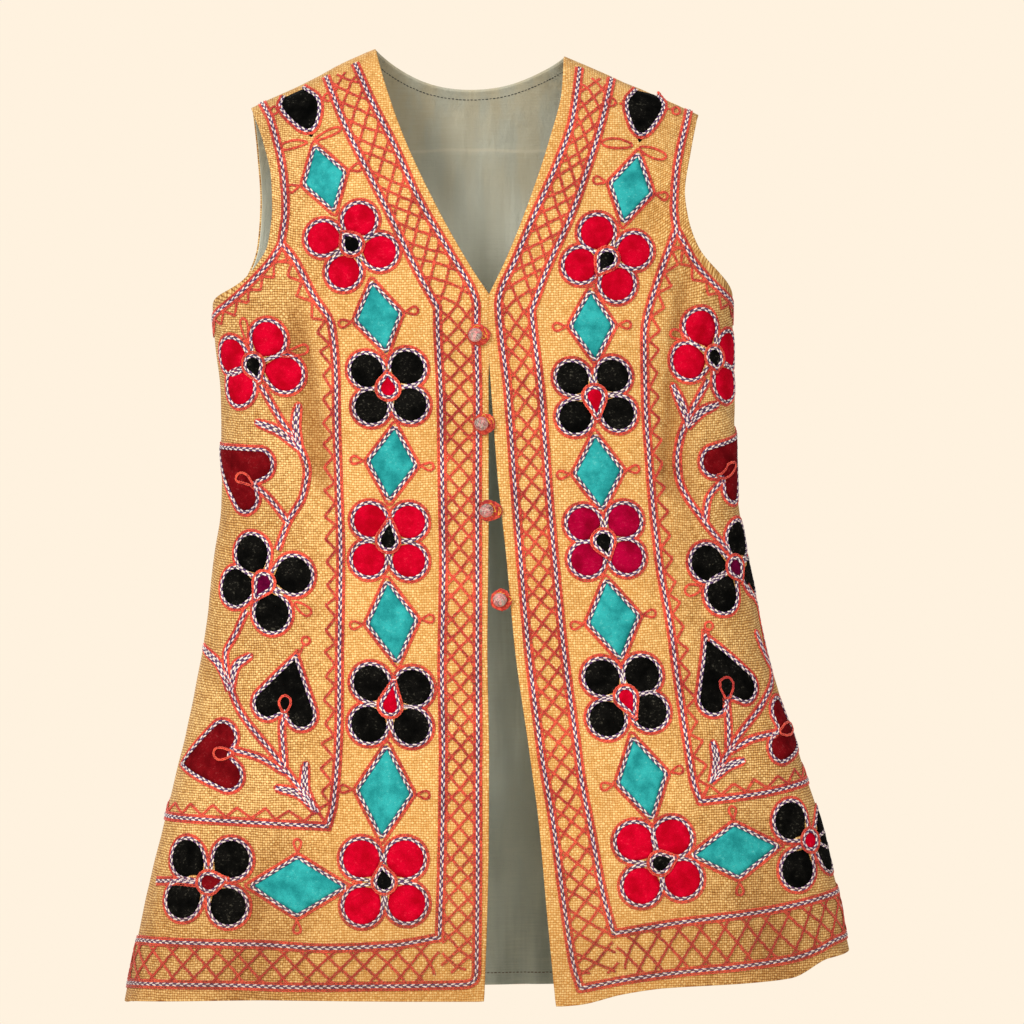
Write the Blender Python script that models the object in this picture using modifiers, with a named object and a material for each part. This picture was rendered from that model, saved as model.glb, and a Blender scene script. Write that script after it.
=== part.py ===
"""Embroidered waistcoat: a long sleeveless burlap waistcoat, hollow as it is worn, open at the front.

Lengths in the tables and the functions are millimetres, and meshes are made in metres.
X runs to the viewer's right, the front faces -Y, and +Z is up. The origin lies between the shoulders,
on the shoulder seams, where a wearer carries the garment.
"""

import math
from collections import namedtuple
from dataclasses import dataclass

import bmesh
import bpy
import numpy as np
from mathutils import Vector


def table(columns, *rows):
    """Rows of numbers and names under named columns."""
    row = namedtuple("Row", columns)
    return [row(*values) for values in rows]


# Units and clearances
MM = 0.001
CLOTH = 2.0
LINING = 1.0
VELVET = 0.8
LAYER_GAP = 0.4
APPLIQUE_GAP = 0.65
SIDE_APPLIQUE_GAP = 1.05
SIDE_SEAM_GAP = 0.4
SHOULDER_SEAM_GAP = 0.9

# Where the front was looked at from, for the places that are given as seen
VIEW_X = 30.0
VIEW_Z = -346.0
VIEW_DISTANCE = 4400.0
SEEN_PLANE_Y = -75.0

# Form of the body: sections down the garment
SHOULDER_ROUNDING = 150.0
SECTIONS = table(
    "z centre_x half_width half_depth squareness",
    (60.0, 0.0, 211.0, 70.0, 2.4),
    (-90.0, -1.0, 211.5, 72.0, 2.4),
    (-180.0, -2.0, 211.5, 75.0, 2.4),
    (-255.0, 2.0, 208.5, 74.0, 2.4),
    (-336.0, 3.5, 210.0, 74.0, 2.4),
    (-393.0, 5.0, 218.5, 76.0, 2.4),
    (-450.0, 7.0, 227.5, 79.0, 2.45),
    (-547.0, 12.0, 252.0, 86.0, 2.5),
    (-637.0, 13.0, 275.0, 92.0, 2.6),
    (-760.0, 12.0, 300.0, 97.0, 2.6),
)

# Height of the shoulder seams across the body, and of the crown that they point to
SHOULDER_LINE = table(
    "x z",
    (-240.0, -46.0),
    (-182.0, -17.0),
    (-141.0, 1.5),
    (-83.0, 30.0),
    (0.0, 52.0),
    (72.0, 25.0),
    (134.0, -2.0),
    (181.0, -22.5),
    (240.0, -52.0),
)

# How far each side seam lies behind the garment's outline, along the cloth
SIDE_SEAMS = table(
    "z left right",
    (-170.0, 12.0, 28.0),
    (-400.0, 14.0, 40.0),
    (-760.0, 20.0, 76.0),
)

# Edges of the fronts as seen, from the bottom up
LEFT_FRONT_EDGE = table(
    "x z",
    (8.0, -737.0),
    (11.0, -650.0),
    (11.8, -540.0),
    (11.8, -350.0),
    (10.8, -172.0),
)
LEFT_NECK_EDGE = table(
    "x z",
    (10.8, -172.0),
    (-2.0, -153.0),
    (-31.0, -102.0),
    (-59.0, -42.0),
    (-75.0, 5.0),
    (-80.0, 24.0),
)
LEFT_ARMHOLE = table(
    "x z",
    (-211.0, -183.0),
    (-188.0, -163.0),
    (-173.0, -147.0),
    (-165.0, -132.0),
    (-161.5, -104.0),
    (-162.0, -82.0),
    (-169.0, -48.0),
    (-178.0, -22.0),
)
LEFT_HEM = table(
    "x z",
    (8.0, -737.0),
    (-150.0, -736.0),
    (-270.0, -736.5),
)
RIGHT_FRONT_EDGE = table(
    "x z",
    (65.0, -741.0),
    (57.0, -657.0),
    (51.0, -591.0),
    (43.0, -532.0),
    (33.5, -466.0),
    (25.5, -383.0),
    (17.5, -300.0),
    (14.0, -235.0),
    (13.2, -172.0),
)
RIGHT_NECK_EDGE = table(
    "x z",
    (13.2, -172.0),
    (26.0, -144.0),
    (44.0, -99.0),
    (61.0, -48.0),
    (71.0, -8.0),
    (72.5, 18.0),
)
RIGHT_ARMHOLE = table(
    "x z",
    (206.5, -172.0),
    (193.0, -152.0),
    (179.0, -134.0),
    (170.5, -111.0),
    (168.0, -90.0),
    (173.0, -55.0),
    (178.0, -28.0),
)
RIGHT_HEM = table(
    "x z",
    (65.0, -741.0),
    (84.0, -739.5),
    (119.0, -731.0),
    (153.0, -726.0),
    (221.0, -722.0),
    (255.0, -718.0),
    (284.0, -702.0),
)

# Back panel: half widths of the armhole edges at true places, the dip of the neck, and the hem's
# height from the right side seam round to the left one
BACK_ARMHOLE = table(
    "height_share left right",
    (0.0, 204.0, 204.0),
    (0.14, 190.0, 186.0),
    (0.32, 179.0, 172.0),
    (0.55, 176.0, 168.5),
    (0.8, 178.5, 174.0),
    (1.0, 181.0, 181.0),
)
BACK_ARMHOLE_RISE = 6.0
BACK_NECK_DIP = 1.0
BACK_NECK_ROUNDING = 2.2
BACK_SHOULDER_SHARE = 0.29
BACK_COLUMN_EVENING = 0.9
BACK_HEM = table(
    "share z",
    (0.0, -697.0),
    (0.15, -722.0),
    (0.3, -737.0),
    (0.5, -738.0),
    (0.75, -740.0),
    (1.0, -745.0),
)
SIDE_HEM_LEFT = -745.0
SIDE_HEM_RIGHT = -697.0
UNDERARM_LEFT = -187.0
UNDERARM_RIGHT = -181.0

# Folds: soft troughs and ridges, each a line from its top to its foot, as shares of a quarter of the
# way round from the centre front, with the foot's place, the spread and the rise out of the cloth
FOLDS = table(
    "panel top_share top_z foot_share foot_z spread rise",
    ("left", -0.68, -165.0, -0.53, -345.0, 19.0, -3.0),
    ("left", -0.86, -180.0, -0.76, -330.0, 18.0, 1.6),
    ("left", -0.55, -560.0, -0.60, -740.0, 22.0, -3.0),
    ("left", -0.78, -520.0, -0.84, -740.0, 24.0, 3.0),
    ("left", -0.25, -600.0, -0.24, -740.0, 26.0, 2.5),
    ("right", 0.74, -170.0, 0.68, -460.0, 19.0, -2.8),
    ("right", 0.90, -200.0, 0.86, -420.0, 18.0, 1.6),
    ("right", 0.45, -560.0, 0.47, -740.0, 26.0, 2.5),
    ("right", 0.70, -540.0, 0.72, -740.0, 22.0, -3.5),
    ("right", 0.93, -520.0, 0.96, -740.0, 22.0, 3.0),
    ("back", 1.36, -400.0, 1.34, -740.0, 34.0, 5.0),
    ("back", 1.62, -330.0, 1.60, -740.0, 34.0, -4.5),
    ("back", 1.88, -60.0, 1.87, -740.0, 32.0, 4.5),
    ("back", 2.12, -40.0, 2.13, -740.0, 32.0, -4.0),
    ("back", 2.38, -300.0, 2.40, -740.0, 34.0, 5.0),
    ("back", 2.64, -400.0, 2.67, -740.0, 34.0, -4.0),
)

FOLD_REACH = 3.5
FOLD_FADE = 0.35
HEM_FOLD_Z = -700.0

# Grids of the panels
FRONT_COLUMNS = 13
BACK_COLUMNS = 20
LOWER_ROWS = 17
UPPER_ROWS = 13
COLUMN_CROWDING = 1.25
ROW_CROWDING = 1.3

# Buttons and loops: the balls' places as seen, and how far right each loop's middle lies of its ball
BALL_RADIUS = 5.3
LOOP_RING = 7.6
LOOP_THREAD = 1.6
LOOP_POINTS = 16
LOOP_ON_EDGE = 1.5
STEM_RADIUS = 1.0
BUTTONS = table(
    "x z loop_shift",
    (0.6, -204.4, 1.4),
    (5.5, -275.5, 1.6),
    (9.6, -345.0, 1.6),
    (20.2, -416.5, 0.2),
)

# Velvet motifs, as seen: the centre, the size across and along, and the turn in degrees
# A flower's sizes are the reach of its petals' centres and their radius; a heart's turn is where
# its tip points; a kite's second size is its foot below the centre
LEFT_MOTIFS = table(
    "name shape velvet x z size_a size_b turn",
    ("kite", "kite", "black", -138.5, -24.0, 17.0, 24.5, 12.0),
    ("diamond_1", "diamond", "teal", -120.0, -79.0, 17.5, 28.0, 17.0),
    ("diamond_2", "diamond", "teal", -77.0, -190.0, 18.5, 28.5, 10.0),
    ("diamond_3", "diamond", "teal", -66.0, -307.0, 19.5, 30.0, -5.0),
    ("diamond_4", "diamond", "teal", -66.0, -434.0, 20.0, 33.0, 5.0),
    ("diamond_5", "diamond", "teal", -72.0, -570.0, 22.0, 37.0, -4.0),
    ("diamond_6", "diamond", "teal", -142.0, -645.5, 39.5, 23.5, 0.0),
    ("flower_1", "flower", "red", -98.0, -132.0, 21.0, 13.4, 70.0),
    ("flower_2", "flower", "black", -69.0, -247.0, 22.0, 13.6, 47.0),
    ("flower_3", "flower", "red", -69.0, -369.0, 22.5, 13.6, 48.0),
    ("flower_4", "flower", "black", -67.5, -501.0, 24.5, 14.6, 46.0),
    ("flower_5", "flower", "red", -72.0, -642.0, 25.0, 15.2, 43.0),
    ("flower_6", "flower", "black", -212.0, -642.5, 24.5, 15.0, 43.0),
    ("flower_7", "flower", "red", -176.5, -228.0, 23.5, 14.2, 62.0),
    ("flower_8", "flower", "black", -168.0, -402.5, 25.5, 15.0, 14.0),
    ("heart_1", "heart", "dark_red", -181.0, -317.0, 22.0, 27.0, 130.0),
    ("heart_2", "heart", "black", -151.0, -491.0, 23.0, 28.0, 73.0),
    ("heart_3", "heart", "dark_red", -210.0, -541.5, 26.0, 29.0, 202.0),
)
RIGHT_MOTIFS = table(
    "name shape velvet x z size_a size_b turn",
    ("kite", "kite", "black", 134.5, -25.5, 17.0, 26.0, -4.0),
    ("diamond_1", "diamond", "teal", 125.0, -87.0, 17.5, 29.0, -12.0),
    ("diamond_2", "diamond", "teal", 94.0, -197.0, 17.5, 28.5, 2.0),
    ("diamond_3", "diamond", "teal", 99.0, -314.0, 19.5, 30.5, 4.5),
    ("diamond_4", "diamond", "teal", 111.0, -432.0, 21.0, 32.5, 8.5),
    ("diamond_5", "diamond", "teal", 134.0, -559.0, 20.0, 33.5, 12.0),
    ("diamond_6", "diamond", "teal", 210.0, -617.0, 38.0, 21.5, 5.0),
    ("flower_1", "flower", "red", 106.0, -143.5, 22.5, 13.8, 16.0),
    ("flower_2", "flower", "black", 96.0, -253.5, 22.0, 13.4, 47.0),
    ("flower_3", "flower", "crimson", 103.0, -369.0, 22.0, 13.6, 46.0),
    ("flower_4", "flower", "black", 121.0, -494.0, 24.0, 14.4, 46.0),
    ("flower_5", "flower", "red", 148.0, -627.0, 25.0, 15.0, 52.0),
    ("flower_6", "flower", "black", 267.0, -609.0, 24.5, 15.0, 47.0),
    ("flower_7", "flower", "red", 192.0, -222.0, 23.5, 14.2, 22.0),
    ("flower_8", "flower", "black", 208.0, -390.0, 25.0, 14.6, 80.0),
    ("heart_1", "heart", "dark_red", 198.0, -309.0, 21.0, 25.0, 50.0),
    ("heart_2", "heart", "black", 203.0, -477.0, 22.0, 27.0, 108.0),
    ("heart_3", "heart", "dark_red", 252.5, -522.0, 25.0, 28.0, -14.0),
)
MOTIF_RINGS = 2
SIDE_MOTIF_RINGS = 3
SIDE_SHARE = 0.66
PETALS = 4
PETAL_POINTS = 6
PETAL_ARC = math.radians(122)
FLOWER_NOTCH = 12.5
LOBE_POINTS = 6

# Finish of each material: base colour, roughness
FINISHES = {
    "burlap": ((0.66, 0.38, 0.08), 0.9),
    "lining_cotton": ((0.26, 0.29, 0.23), 0.85),
    "black": ((0.006, 0.006, 0.006), 0.95),
    "red": ((0.72, 0.003, 0.02), 0.9),
    "crimson": ((0.36, 0.004, 0.05), 0.9),
    "dark_red": ((0.32, 0.008, 0.014), 0.9),
    "teal": ((0.05, 0.37, 0.29), 0.9),
    "thread_ball": ((0.38, 0.2, 0.22), 0.8),
    "loop_thread": ((0.7, 0.07, 0.02), 0.7),
}


@dataclass
class Ring:
    """One level section of the body, with its arc length worked out."""

    x: np.ndarray
    y: np.ndarray
    s: np.ndarray
    round: float


def columns(table):
    """The columns of a table of number rows, each as an array, with the first one rising."""
    rows = sorted(table)
    return [np.array(column) for column in zip(*rows)]


def smooth(x, xs, ys):
    """A smooth curve through the points (xs, ys) that never swings past them, read at x."""
    steps = np.diff(xs)
    slopes = np.diff(ys) / steps
    tangents = np.empty(len(xs))
    tangents[0], tangents[-1] = slopes[0], slopes[-1]
    for i in range(1, len(xs) - 1):
        before, after = slopes[i - 1], slopes[i]
        tangents[i] = 0.0 if before * after <= 0 else 2 * before * after / (before + after)
    i = int(np.clip(np.searchsorted(xs, x) - 1, 0, len(xs) - 2))
    t = min(max((x - xs[i]) / steps[i], 0.0), 1.0)
    t2, t3 = t * t, t * t * t
    return (
        (2 * t3 - 3 * t2 + 1) * ys[i]
        + (t3 - 2 * t2 + t) * steps[i] * tangents[i]
        + (3 * t2 - 2 * t3) * ys[i + 1]
        + (t3 - t2) * steps[i] * tangents[i + 1]
    )


SECTION_TABLE = columns(SECTIONS)
SHOULDER_TABLE = columns(SHOULDER_LINE)
SEAM_TABLE = columns(SIDE_SEAMS)
RING_POINTS = 721
RINGS = {}


def ring(z):
    """The section at a height, from the centre front to the right and all the way round."""
    key = round(z, 2)
    if key not in RINGS:
        levels = SECTION_TABLE[0]
        centre, width, depth, square = (smooth(z, levels, c) for c in SECTION_TABLE[1:])
        angle = np.linspace(0, 2 * math.pi, RING_POINTS)
        across, along = np.sin(angle), -np.cos(angle)
        x = centre + width * np.sign(across) * np.abs(across) ** (2 / square)
        y = depth * np.sign(along) * np.abs(along) ** (2 / square)
        s = np.concatenate(([0.0], np.cumsum(np.hypot(np.diff(x), np.diff(y)))))
        RINGS[key] = Ring(x, y, s, s[-1])
    return RINGS[key]


def shoulder_height(x):
    """Height of the shoulder line over a place across the body."""
    return smooth(x, *SHOULDER_TABLE)


def eased(share):
    """A share from 0 to 1 that starts and ends softly."""
    share = min(max(share, 0.0), 1.0)
    return share * share * (3 - 2 * share)


def fold_rise(quarter, z):
    """How far the folds push the cloth out at a place, quarter being the share of a quarter round."""
    rise = 0.0
    for fold in FOLDS:
        place = quarter % 4 if fold.panel == "back" else quarter
        down = (fold.top_z - z) / (fold.top_z - fold.foot_z)
        line = fold.top_share + (fold.foot_share - fold.top_share) * min(down, 1.0)
        off = (place - line) * ring(z).round / 4 / fold.spread
        if down <= 0 or abs(off) > FOLD_REACH:
            continue
        ends_low = 1.0 if fold.foot_z < HEM_FOLD_Z else eased((1 - down) / FOLD_FADE)
        rise += fold.rise * eased(down / FOLD_FADE) * ends_low * math.exp(-0.5 * off * off)
    return rise


def bare_point(s, z):
    """The body's surface without its folds, s being the way round from the centre front."""
    section = ring(z)
    along = s % section.round
    x = float(np.interp(along, section.s, section.x))
    y = float(np.interp(along, section.s, section.y))
    below = min(max(shoulder_height(x) - z, 0.0), SHOULDER_ROUNDING)
    depth = math.sqrt(1 - (1 - below / SHOULDER_ROUNDING) ** 2)
    seam = math.copysign(SHOULDER_SEAM_GAP / 2, y)
    return Vector((x, y * depth + seam * (1 - depth), z))


def normal(s, z):
    """The outward direction of the surface."""
    step = 1.0
    low = z - step
    round_here, round_low = ring(z).round, ring(low).round
    wrapped = s % round_here
    along = bare_point(s + step, low) - bare_point(s - step, low)
    up = bare_point(s, z) - bare_point(s if wrapped < round_here / 2 else s - round_here + round_low, low)
    return along.cross(up).normalized()


def surface(s, z, lift=0.0):
    """A point of the garment's outer face, or lifted off it."""
    quarter = s / (ring(z).round / 4)
    return bare_point(s, z) + normal(s, z) * (fold_rise(quarter, z) + lift)


def seen_place(x, z):
    """The way round and the height of the point of the front that is seen at a place."""
    y = SEEN_PLANE_Y
    for _ in range(8):
        nearness = (VIEW_DISTANCE + y - SEEN_PLANE_Y) / VIEW_DISTANCE
        real_x = VIEW_X + (x - VIEW_X) * nearness
        real_z = VIEW_Z + (z - VIEW_Z) * nearness
        section = ring(real_z)
        half = RING_POINTS // 4
        front_x = np.concatenate((section.x[-half:], section.x[: half + 1]))
        front_s = np.concatenate((section.s[-half:] - section.round, section.s[: half + 1]))
        s = float(np.interp(real_x, front_x, front_s))
        y = bare_point(s, real_z).y
    return s, real_z


def resample(points, shares):
    """Places at the given shares of the length of a line of (s, z) points, on a smooth curve."""
    points = np.array(points)
    length = np.concatenate(([0.0], np.cumsum(np.hypot(*np.diff(points, axis=0).T))))
    at = np.array(shares) * length[-1]
    return [(smooth(a, length, points[:, 0]), smooth(a, length, points[:, 1])) for a in at]


def side_seam(z, side):
    """The way round to a side seam, negative on the left."""
    behind = smooth(z, SEAM_TABLE[0], SEAM_TABLE[1 if side < 0 else 2])
    return side * (ring(z).round / 4 + behind)


def seam_rows(side):
    """The rows of a side seam from the hem up to the underarm, which the front and the back share."""
    hem, underarm = (SIDE_HEM_LEFT, UNDERARM_LEFT) if side < 0 else (SIDE_HEM_RIGHT, UNDERARM_RIGHT)
    heights = [hem + (underarm - hem) * j / LOWER_ROWS for j in range(LOWER_ROWS + 1)]
    return [(side_seam(z, side), z) for z in heights]


def patch(bottom, top, left, right):
    """A grid of (s, z) places filled in between four edges, rows from the bottom up."""
    rows, across = len(left), len(bottom)
    bottom, top, left, right = (np.array(edge) for edge in (bottom, top, left, right))
    grid = np.empty((rows, across, 2))
    for j in range(rows):
        v = j / (rows - 1)
        for i in range(across):
            u = i / (across - 1)
            sides = (1 - u) * left[j] + u * right[j]
            ends = (1 - v) * bottom[i] + v * top[i]
            corners = (1 - u) * ((1 - v) * left[0] + v * left[-1])
            corners = corners + u * ((1 - v) * right[0] + v * right[-1])
            grid[j, i] = sides + ends - corners
    return grid


def front_grid(side, front_edge, neck_edge, armhole, hem):
    """The (s, z) grid of one front: columns from the front edge to the side seam."""
    column_shares = [1 - (1 - i / FRONT_COLUMNS) ** COLUMN_CROWDING for i in range(FRONT_COLUMNS + 1)]
    lower_shares = [j / LOWER_ROWS for j in range(LOWER_ROWS + 1)]
    upper_shares = [1 - (1 - j / UPPER_ROWS) ** ROW_CROWDING for j in range(UPPER_ROWS + 1)]
    edge_low = resample([seen_place(*p) for p in front_edge], lower_shares)
    edge_high = resample([seen_place(*p) for p in neck_edge], upper_shares)
    seam_low = seam_rows(side)
    arm = [seam_low[-1]] + [seen_place(*p) for p in armhole]
    arm_high = resample(arm, upper_shares)
    hem_line = resample([seen_place(*p) for p in hem] + [seam_low[0]], column_shares)
    hem_line[0] = edge_low[0]
    middle = resample([edge_low[-1], seam_low[-1]], column_shares)
    tip, neck = arm_high[-1], edge_high[-1]
    shoulder = []
    for share in column_shares:
        s = neck[0] + (tip[0] - neck[0]) * share
        x = bare_point(s, neck[1] + (tip[1] - neck[1]) * share).x
        shoulder.append((s, shoulder_height(x)))
    edge_high[-1], arm_high[-1] = shoulder[0], shoulder[-1]
    lower = patch(hem_line, middle, edge_low, seam_low)
    upper = patch(middle, shoulder, edge_high, arm_high)
    return np.concatenate((lower, upper[1:]))


def back_grid():
    """The (s, z) grid of the back: columns from the right side seam round to the left one."""
    halves = [1 - 2 * i / BACK_COLUMNS for i in range(BACK_COLUMNS + 1)]
    shares = [0.5 - 0.5 * math.copysign(abs(half) ** BACK_COLUMN_EVENING, half) for half in halves]
    upper_shares = [1 - (1 - j / UPPER_ROWS) ** ROW_CROWDING for j in range(UPPER_ROWS + 1)]
    gap = SIDE_SEAM_GAP
    right_side = [(s + gap, z) for s, z in seam_rows(1)]
    left_side = [(ring(z).round + s - gap, z) for s, z in seam_rows(-1)]
    hem = []
    for share in shares:
        z = smooth(share, *columns(BACK_HEM))
        start, end = side_seam(z, 1) + gap, ring(z).round + side_seam(z, -1) - gap
        hem.append((start + (end - start) * share, z))
    hem[0], hem[-1] = right_side[0], left_side[0]
    middle = [
        (right_side[-1][0] + (left_side[-1][0] - right_side[-1][0]) * share,
         right_side[-1][1] + (left_side[-1][1] - right_side[-1][1]) * share)
        for share in shares
    ]
    arms = {}
    for side, underarm, start in ((1, UNDERARM_RIGHT, right_side[-1]), (-1, UNDERARM_LEFT, left_side[-1])):
        points = [start]
        for row in BACK_ARMHOLE:
            x = row.right if side > 0 else -row.left
            foot = underarm + BACK_ARMHOLE_RISE
            z = foot + (shoulder_height(x) - foot) * row.height_share
            points.append((back_way(x, z), z))
        arms[side] = resample(points, upper_shares)
    neck_right, neck_left = seen_shoulder(RIGHT_NECK_EDGE[-1]), seen_shoulder(LEFT_NECK_EDGE[-1])
    tip_right, tip_left = BACK_ARMHOLE[-1].right, -BACK_ARMHOLE[-1].left
    top_line = []
    for share in shares:
        along_right, along_left = share / BACK_SHOULDER_SHARE, (1 - share) / BACK_SHOULDER_SHARE
        if along_right < 1:
            x = tip_right + (neck_right - tip_right) * along_right
            z = shoulder_height(x)
        elif along_left < 1:
            x = tip_left + (neck_left - tip_left) * along_left
            z = shoulder_height(x)
        else:
            t = (share - BACK_SHOULDER_SHARE) / (1 - 2 * BACK_SHOULDER_SHARE)
            x = neck_right + (neck_left - neck_right) * t
            rim = shoulder_height(neck_right) * (1 - t) + shoulder_height(neck_left) * t
            z = BACK_NECK_DIP + (rim - BACK_NECK_DIP) * abs(2 * t - 1) ** BACK_NECK_ROUNDING
        top_line.append((back_way(x, z), z))
    arms[1][-1], arms[-1][-1] = top_line[0], top_line[-1]
    lower = patch(hem, middle, right_side, left_side)
    upper = patch(middle, top_line, arms[1], arms[-1])
    return np.concatenate((lower, upper[1:]))


def back_way(x, z):
    """The way round to the point of the back over a place across the body."""
    section = ring(z)
    quarter = RING_POINTS // 4
    across = section.x[quarter : 3 * quarter + 1][::-1]
    return float(np.interp(x, across, section.s[quarter : 3 * quarter + 1][::-1]))


def edge_at(edge, z):
    """How far across a front's edge lies at a height, as seen."""
    places = sorted((height, x) for x, height in edge)
    return smooth(z, *(np.array(column) for column in zip(*places)))


def seen_shoulder(place):
    """How far across the body a front's neck point lies."""
    return bare_point(*seen_place(*place)).x


def material(name):
    """A material for a finish in the table."""
    colour, roughness = FINISHES[name]
    made = bpy.data.materials.get(name) or bpy.data.materials.new(name)
    made.use_nodes = True
    shader = made.node_tree.nodes["Principled BSDF"]
    shader.inputs["Base Color"].default_value = (*colour, 1)
    shader.inputs["Roughness"].default_value = roughness
    shader.inputs["Metallic"].default_value = 0
    made.diffuse_color = (*colour, 1)
    return made


def add_object(name, mesh, collection, finish):
    """An object of a mesh, with its material."""
    made = bpy.data.objects.new(name, mesh)
    mesh.materials.append(material(finish))
    collection.objects.link(made)
    return made


def solidify(target, thickness):
    """Gives an open surface its thickness, outwards."""
    wall = target.modifiers.new("thickness", "SOLIDIFY")
    wall.thickness = thickness * MM
    wall.offset = 1
    wall.use_even_offset = True


def mesh_from(name, points, faces):
    """A smooth-shaded mesh of points in millimetres."""
    mesh = bpy.data.meshes.new(name)
    mesh.from_pydata([p * MM for p in points], [], faces)
    mesh.update()
    mesh.shade_smooth()
    mesh.set_sharp_from_angle(angle=math.radians(50))
    return mesh


def panel(name, grid, collection, finish, thickness, lift=0.0):
    """A cloth wall between two lofts through the rows of an (s, z) grid, its edges square to it."""
    rows, across, _ = grid.shape
    places = [(s, z) for row in grid for s, z in row]
    points = [surface(s, z, lift) for s, z in places]
    points += [surface(s, z, lift - thickness) for s, z in places]
    inner = rows * across
    faces = []
    for j in range(rows - 1):
        for i in range(across - 1):
            a = j * across + i
            b = a + across
            for face in ((a, a + 1, b + 1), (a, b + 1, b)):
                faces += [face, tuple(inner + k for k in face[::-1])]
    rim = list(range(across))
    rim += [j * across + across - 1 for j in range(1, rows)]
    rim += [(rows - 1) * across + i for i in range(across - 2, -1, -1)]
    rim += [j * across for j in range(rows - 2, 0, -1)]
    for a, b in zip(rim, rim[1:] + rim[:1]):
        faces.append((a, a + inner, b + inner, b))
    return add_object(name, mesh_from(name, points, faces), collection, finish)


def diamond_outline(half_width, half_height):
    """A rhombus with straight sides."""
    corners = [(half_width, 0), (0, half_height), (-half_width, 0), (0, -half_height)]
    return between(corners, 2)


def kite_outline(half_width, foot):
    """A kite with a low rounded head, its foot below the centre."""
    head = 0.9 * half_width
    return [
        (half_width, 0),
        (0.6 * half_width, 0.62 * head),
        (0, head),
        (-0.6 * half_width, 0.62 * head),
        (-half_width, 0),
        (-0.5 * half_width, -0.5 * foot),
        (0, -foot),
        (0.5 * half_width, -0.5 * foot),
    ]


def flower_outline(reach, radius):
    """Four round petals that meet at the middle."""
    points = []
    for k in range(PETALS):
        out = 2 * math.pi * k / PETALS
        for i in range(PETAL_POINTS):
            turn = out + PETAL_ARC * (2 * i / (PETAL_POINTS - 1) - 1)
            points.append((reach * math.cos(out) + radius * math.cos(turn),
                           reach * math.sin(out) + radius * math.sin(turn)))
        notch = out + math.pi / PETALS
        points.append((FLOWER_NOTCH * math.cos(notch), FLOWER_NOTCH * math.sin(notch)))
    return points


def heart_outline(half_width, tip):
    """Two round lobes and a tip that points along +X."""
    radius = 0.54 * half_width
    centre = half_width - radius
    lobe = []
    for i in range(LOBE_POINTS):
        turn = math.radians(52 + (205 - 52) * i / (LOBE_POINTS - 1))
        lobe.append((radius * math.cos(turn) - 0.25 * tip, centre + radius * math.sin(turn)))
    side = [(tip, 0)] + [
        (tip + (lobe[0][0] - tip) * share, lobe[0][1] * share) for share in (0.36, 0.7)
    ]
    upper = side + lobe
    return upper + [(-0.42 * tip, 0)] + [(u, -v) for u, v in upper[:0:-1]]


def between(corners, parts):
    """The corners of an outline with points added along its sides."""
    points = []
    for a, b in zip(corners, corners[1:] + corners[:1]):
        for i in range(parts):
            t = i / parts
            points.append((a[0] + (b[0] - a[0]) * t, a[1] + (b[1] - a[1]) * t))
    return points


OUTLINES = {
    "diamond": diamond_outline,
    "kite": kite_outline,
    "flower": flower_outline,
    "heart": heart_outline,
}


def motif(name, shape, velvet, x, z, size_a, size_b, turn, collection):
    """A velvet applique that follows the front it is sewn on."""
    centre_s, centre_z = seen_place(x, z)
    outline = OUTLINES[shape](size_a, size_b)
    tilt = math.radians(turn)
    cos, sin = math.cos(tilt), math.sin(tilt)
    on_curve = shape == "kite" or abs(centre_s) > SIDE_SHARE * ring(centre_z).round / 4
    rings = SIDE_MOTIF_RINGS if on_curve else MOTIF_RINGS
    gap = SIDE_APPLIQUE_GAP if on_curve else APPLIQUE_GAP
    points = [surface(centre_s, centre_z, gap)]
    for k in range(1, rings + 1):
        share = k / rings
        for u, v in outline:
            s = centre_s + share * (u * cos - v * sin)
            height = centre_z + share * (u * sin + v * cos)
            points.append(surface(s, height, gap))
    count = len(outline)
    faces = [(0, 1 + i, 1 + (i + 1) % count) for i in range(count)]
    for k in range(rings - 1):
        low, high = 1 + k * count, 1 + (k + 1) * count
        for i in range(count):
            j = (i + 1) % count
            faces.append((low + i, high + i, high + j, low + j))
    made = add_object(name, mesh_from(name, points, faces), collection, velvet)
    solidify(made, VELVET)
    return made


def button(name, x, z, collection):
    """A thread-wound ball that sits on the front edge."""
    s, height = seen_place(x, z)
    seat = surface(s, height, BALL_RADIUS + LAYER_GAP)
    bm = bmesh.new()
    bmesh.ops.create_uvsphere(bm, u_segments=10, v_segments=7, radius=BALL_RADIUS * MM)
    mesh = bpy.data.meshes.new(name)
    bm.to_mesh(mesh)
    bm.free()
    mesh.shade_smooth()
    made = add_object(name, mesh, collection, "thread_ball")
    made.location = seat * MM
    return made


def peg(start, end, collection):
    """A thread stem between two points, to be joined to a ball."""
    bm = bmesh.new()
    bmesh.ops.create_cone(bm, cap_ends=True, segments=8, radius1=STEM_RADIUS * MM,
                          radius2=STEM_RADIUS * MM, depth=(end - start).length * MM)
    mesh = bpy.data.meshes.new("stem")
    bm.to_mesh(mesh)
    bm.free()
    made = bpy.data.objects.new("stem", mesh)
    made.location = (start + end) / 2 * MM
    made.rotation_mode = "QUATERNION"
    made.rotation_quaternion = (end - start).to_track_quat("Z", "Y")
    made.hide_render = True
    made.display_type = "WIRE"
    collection.objects.link(made)
    return made


def tie_to_edge(ball, x, z, edge_x, collection):
    """Ties a ball that hangs in the opening to the front edge beside it."""
    s, height = seen_place(x, z)
    edge_s, _ = seen_place(edge_x, z)
    elbow = surface(s, height, -CLOTH / 2)
    foot = surface(edge_s + LAYER_GAP, height, -CLOTH / 2)
    beyond = (elbow - foot).normalized() * STEM_RADIUS
    for start, end in ((ball.location / MM, elbow), (elbow + beyond, foot)):
        join = ball.modifiers.new("stem", "BOOLEAN")
        join.operation = "UNION"
        join.object = peg(start, end, collection)


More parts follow.
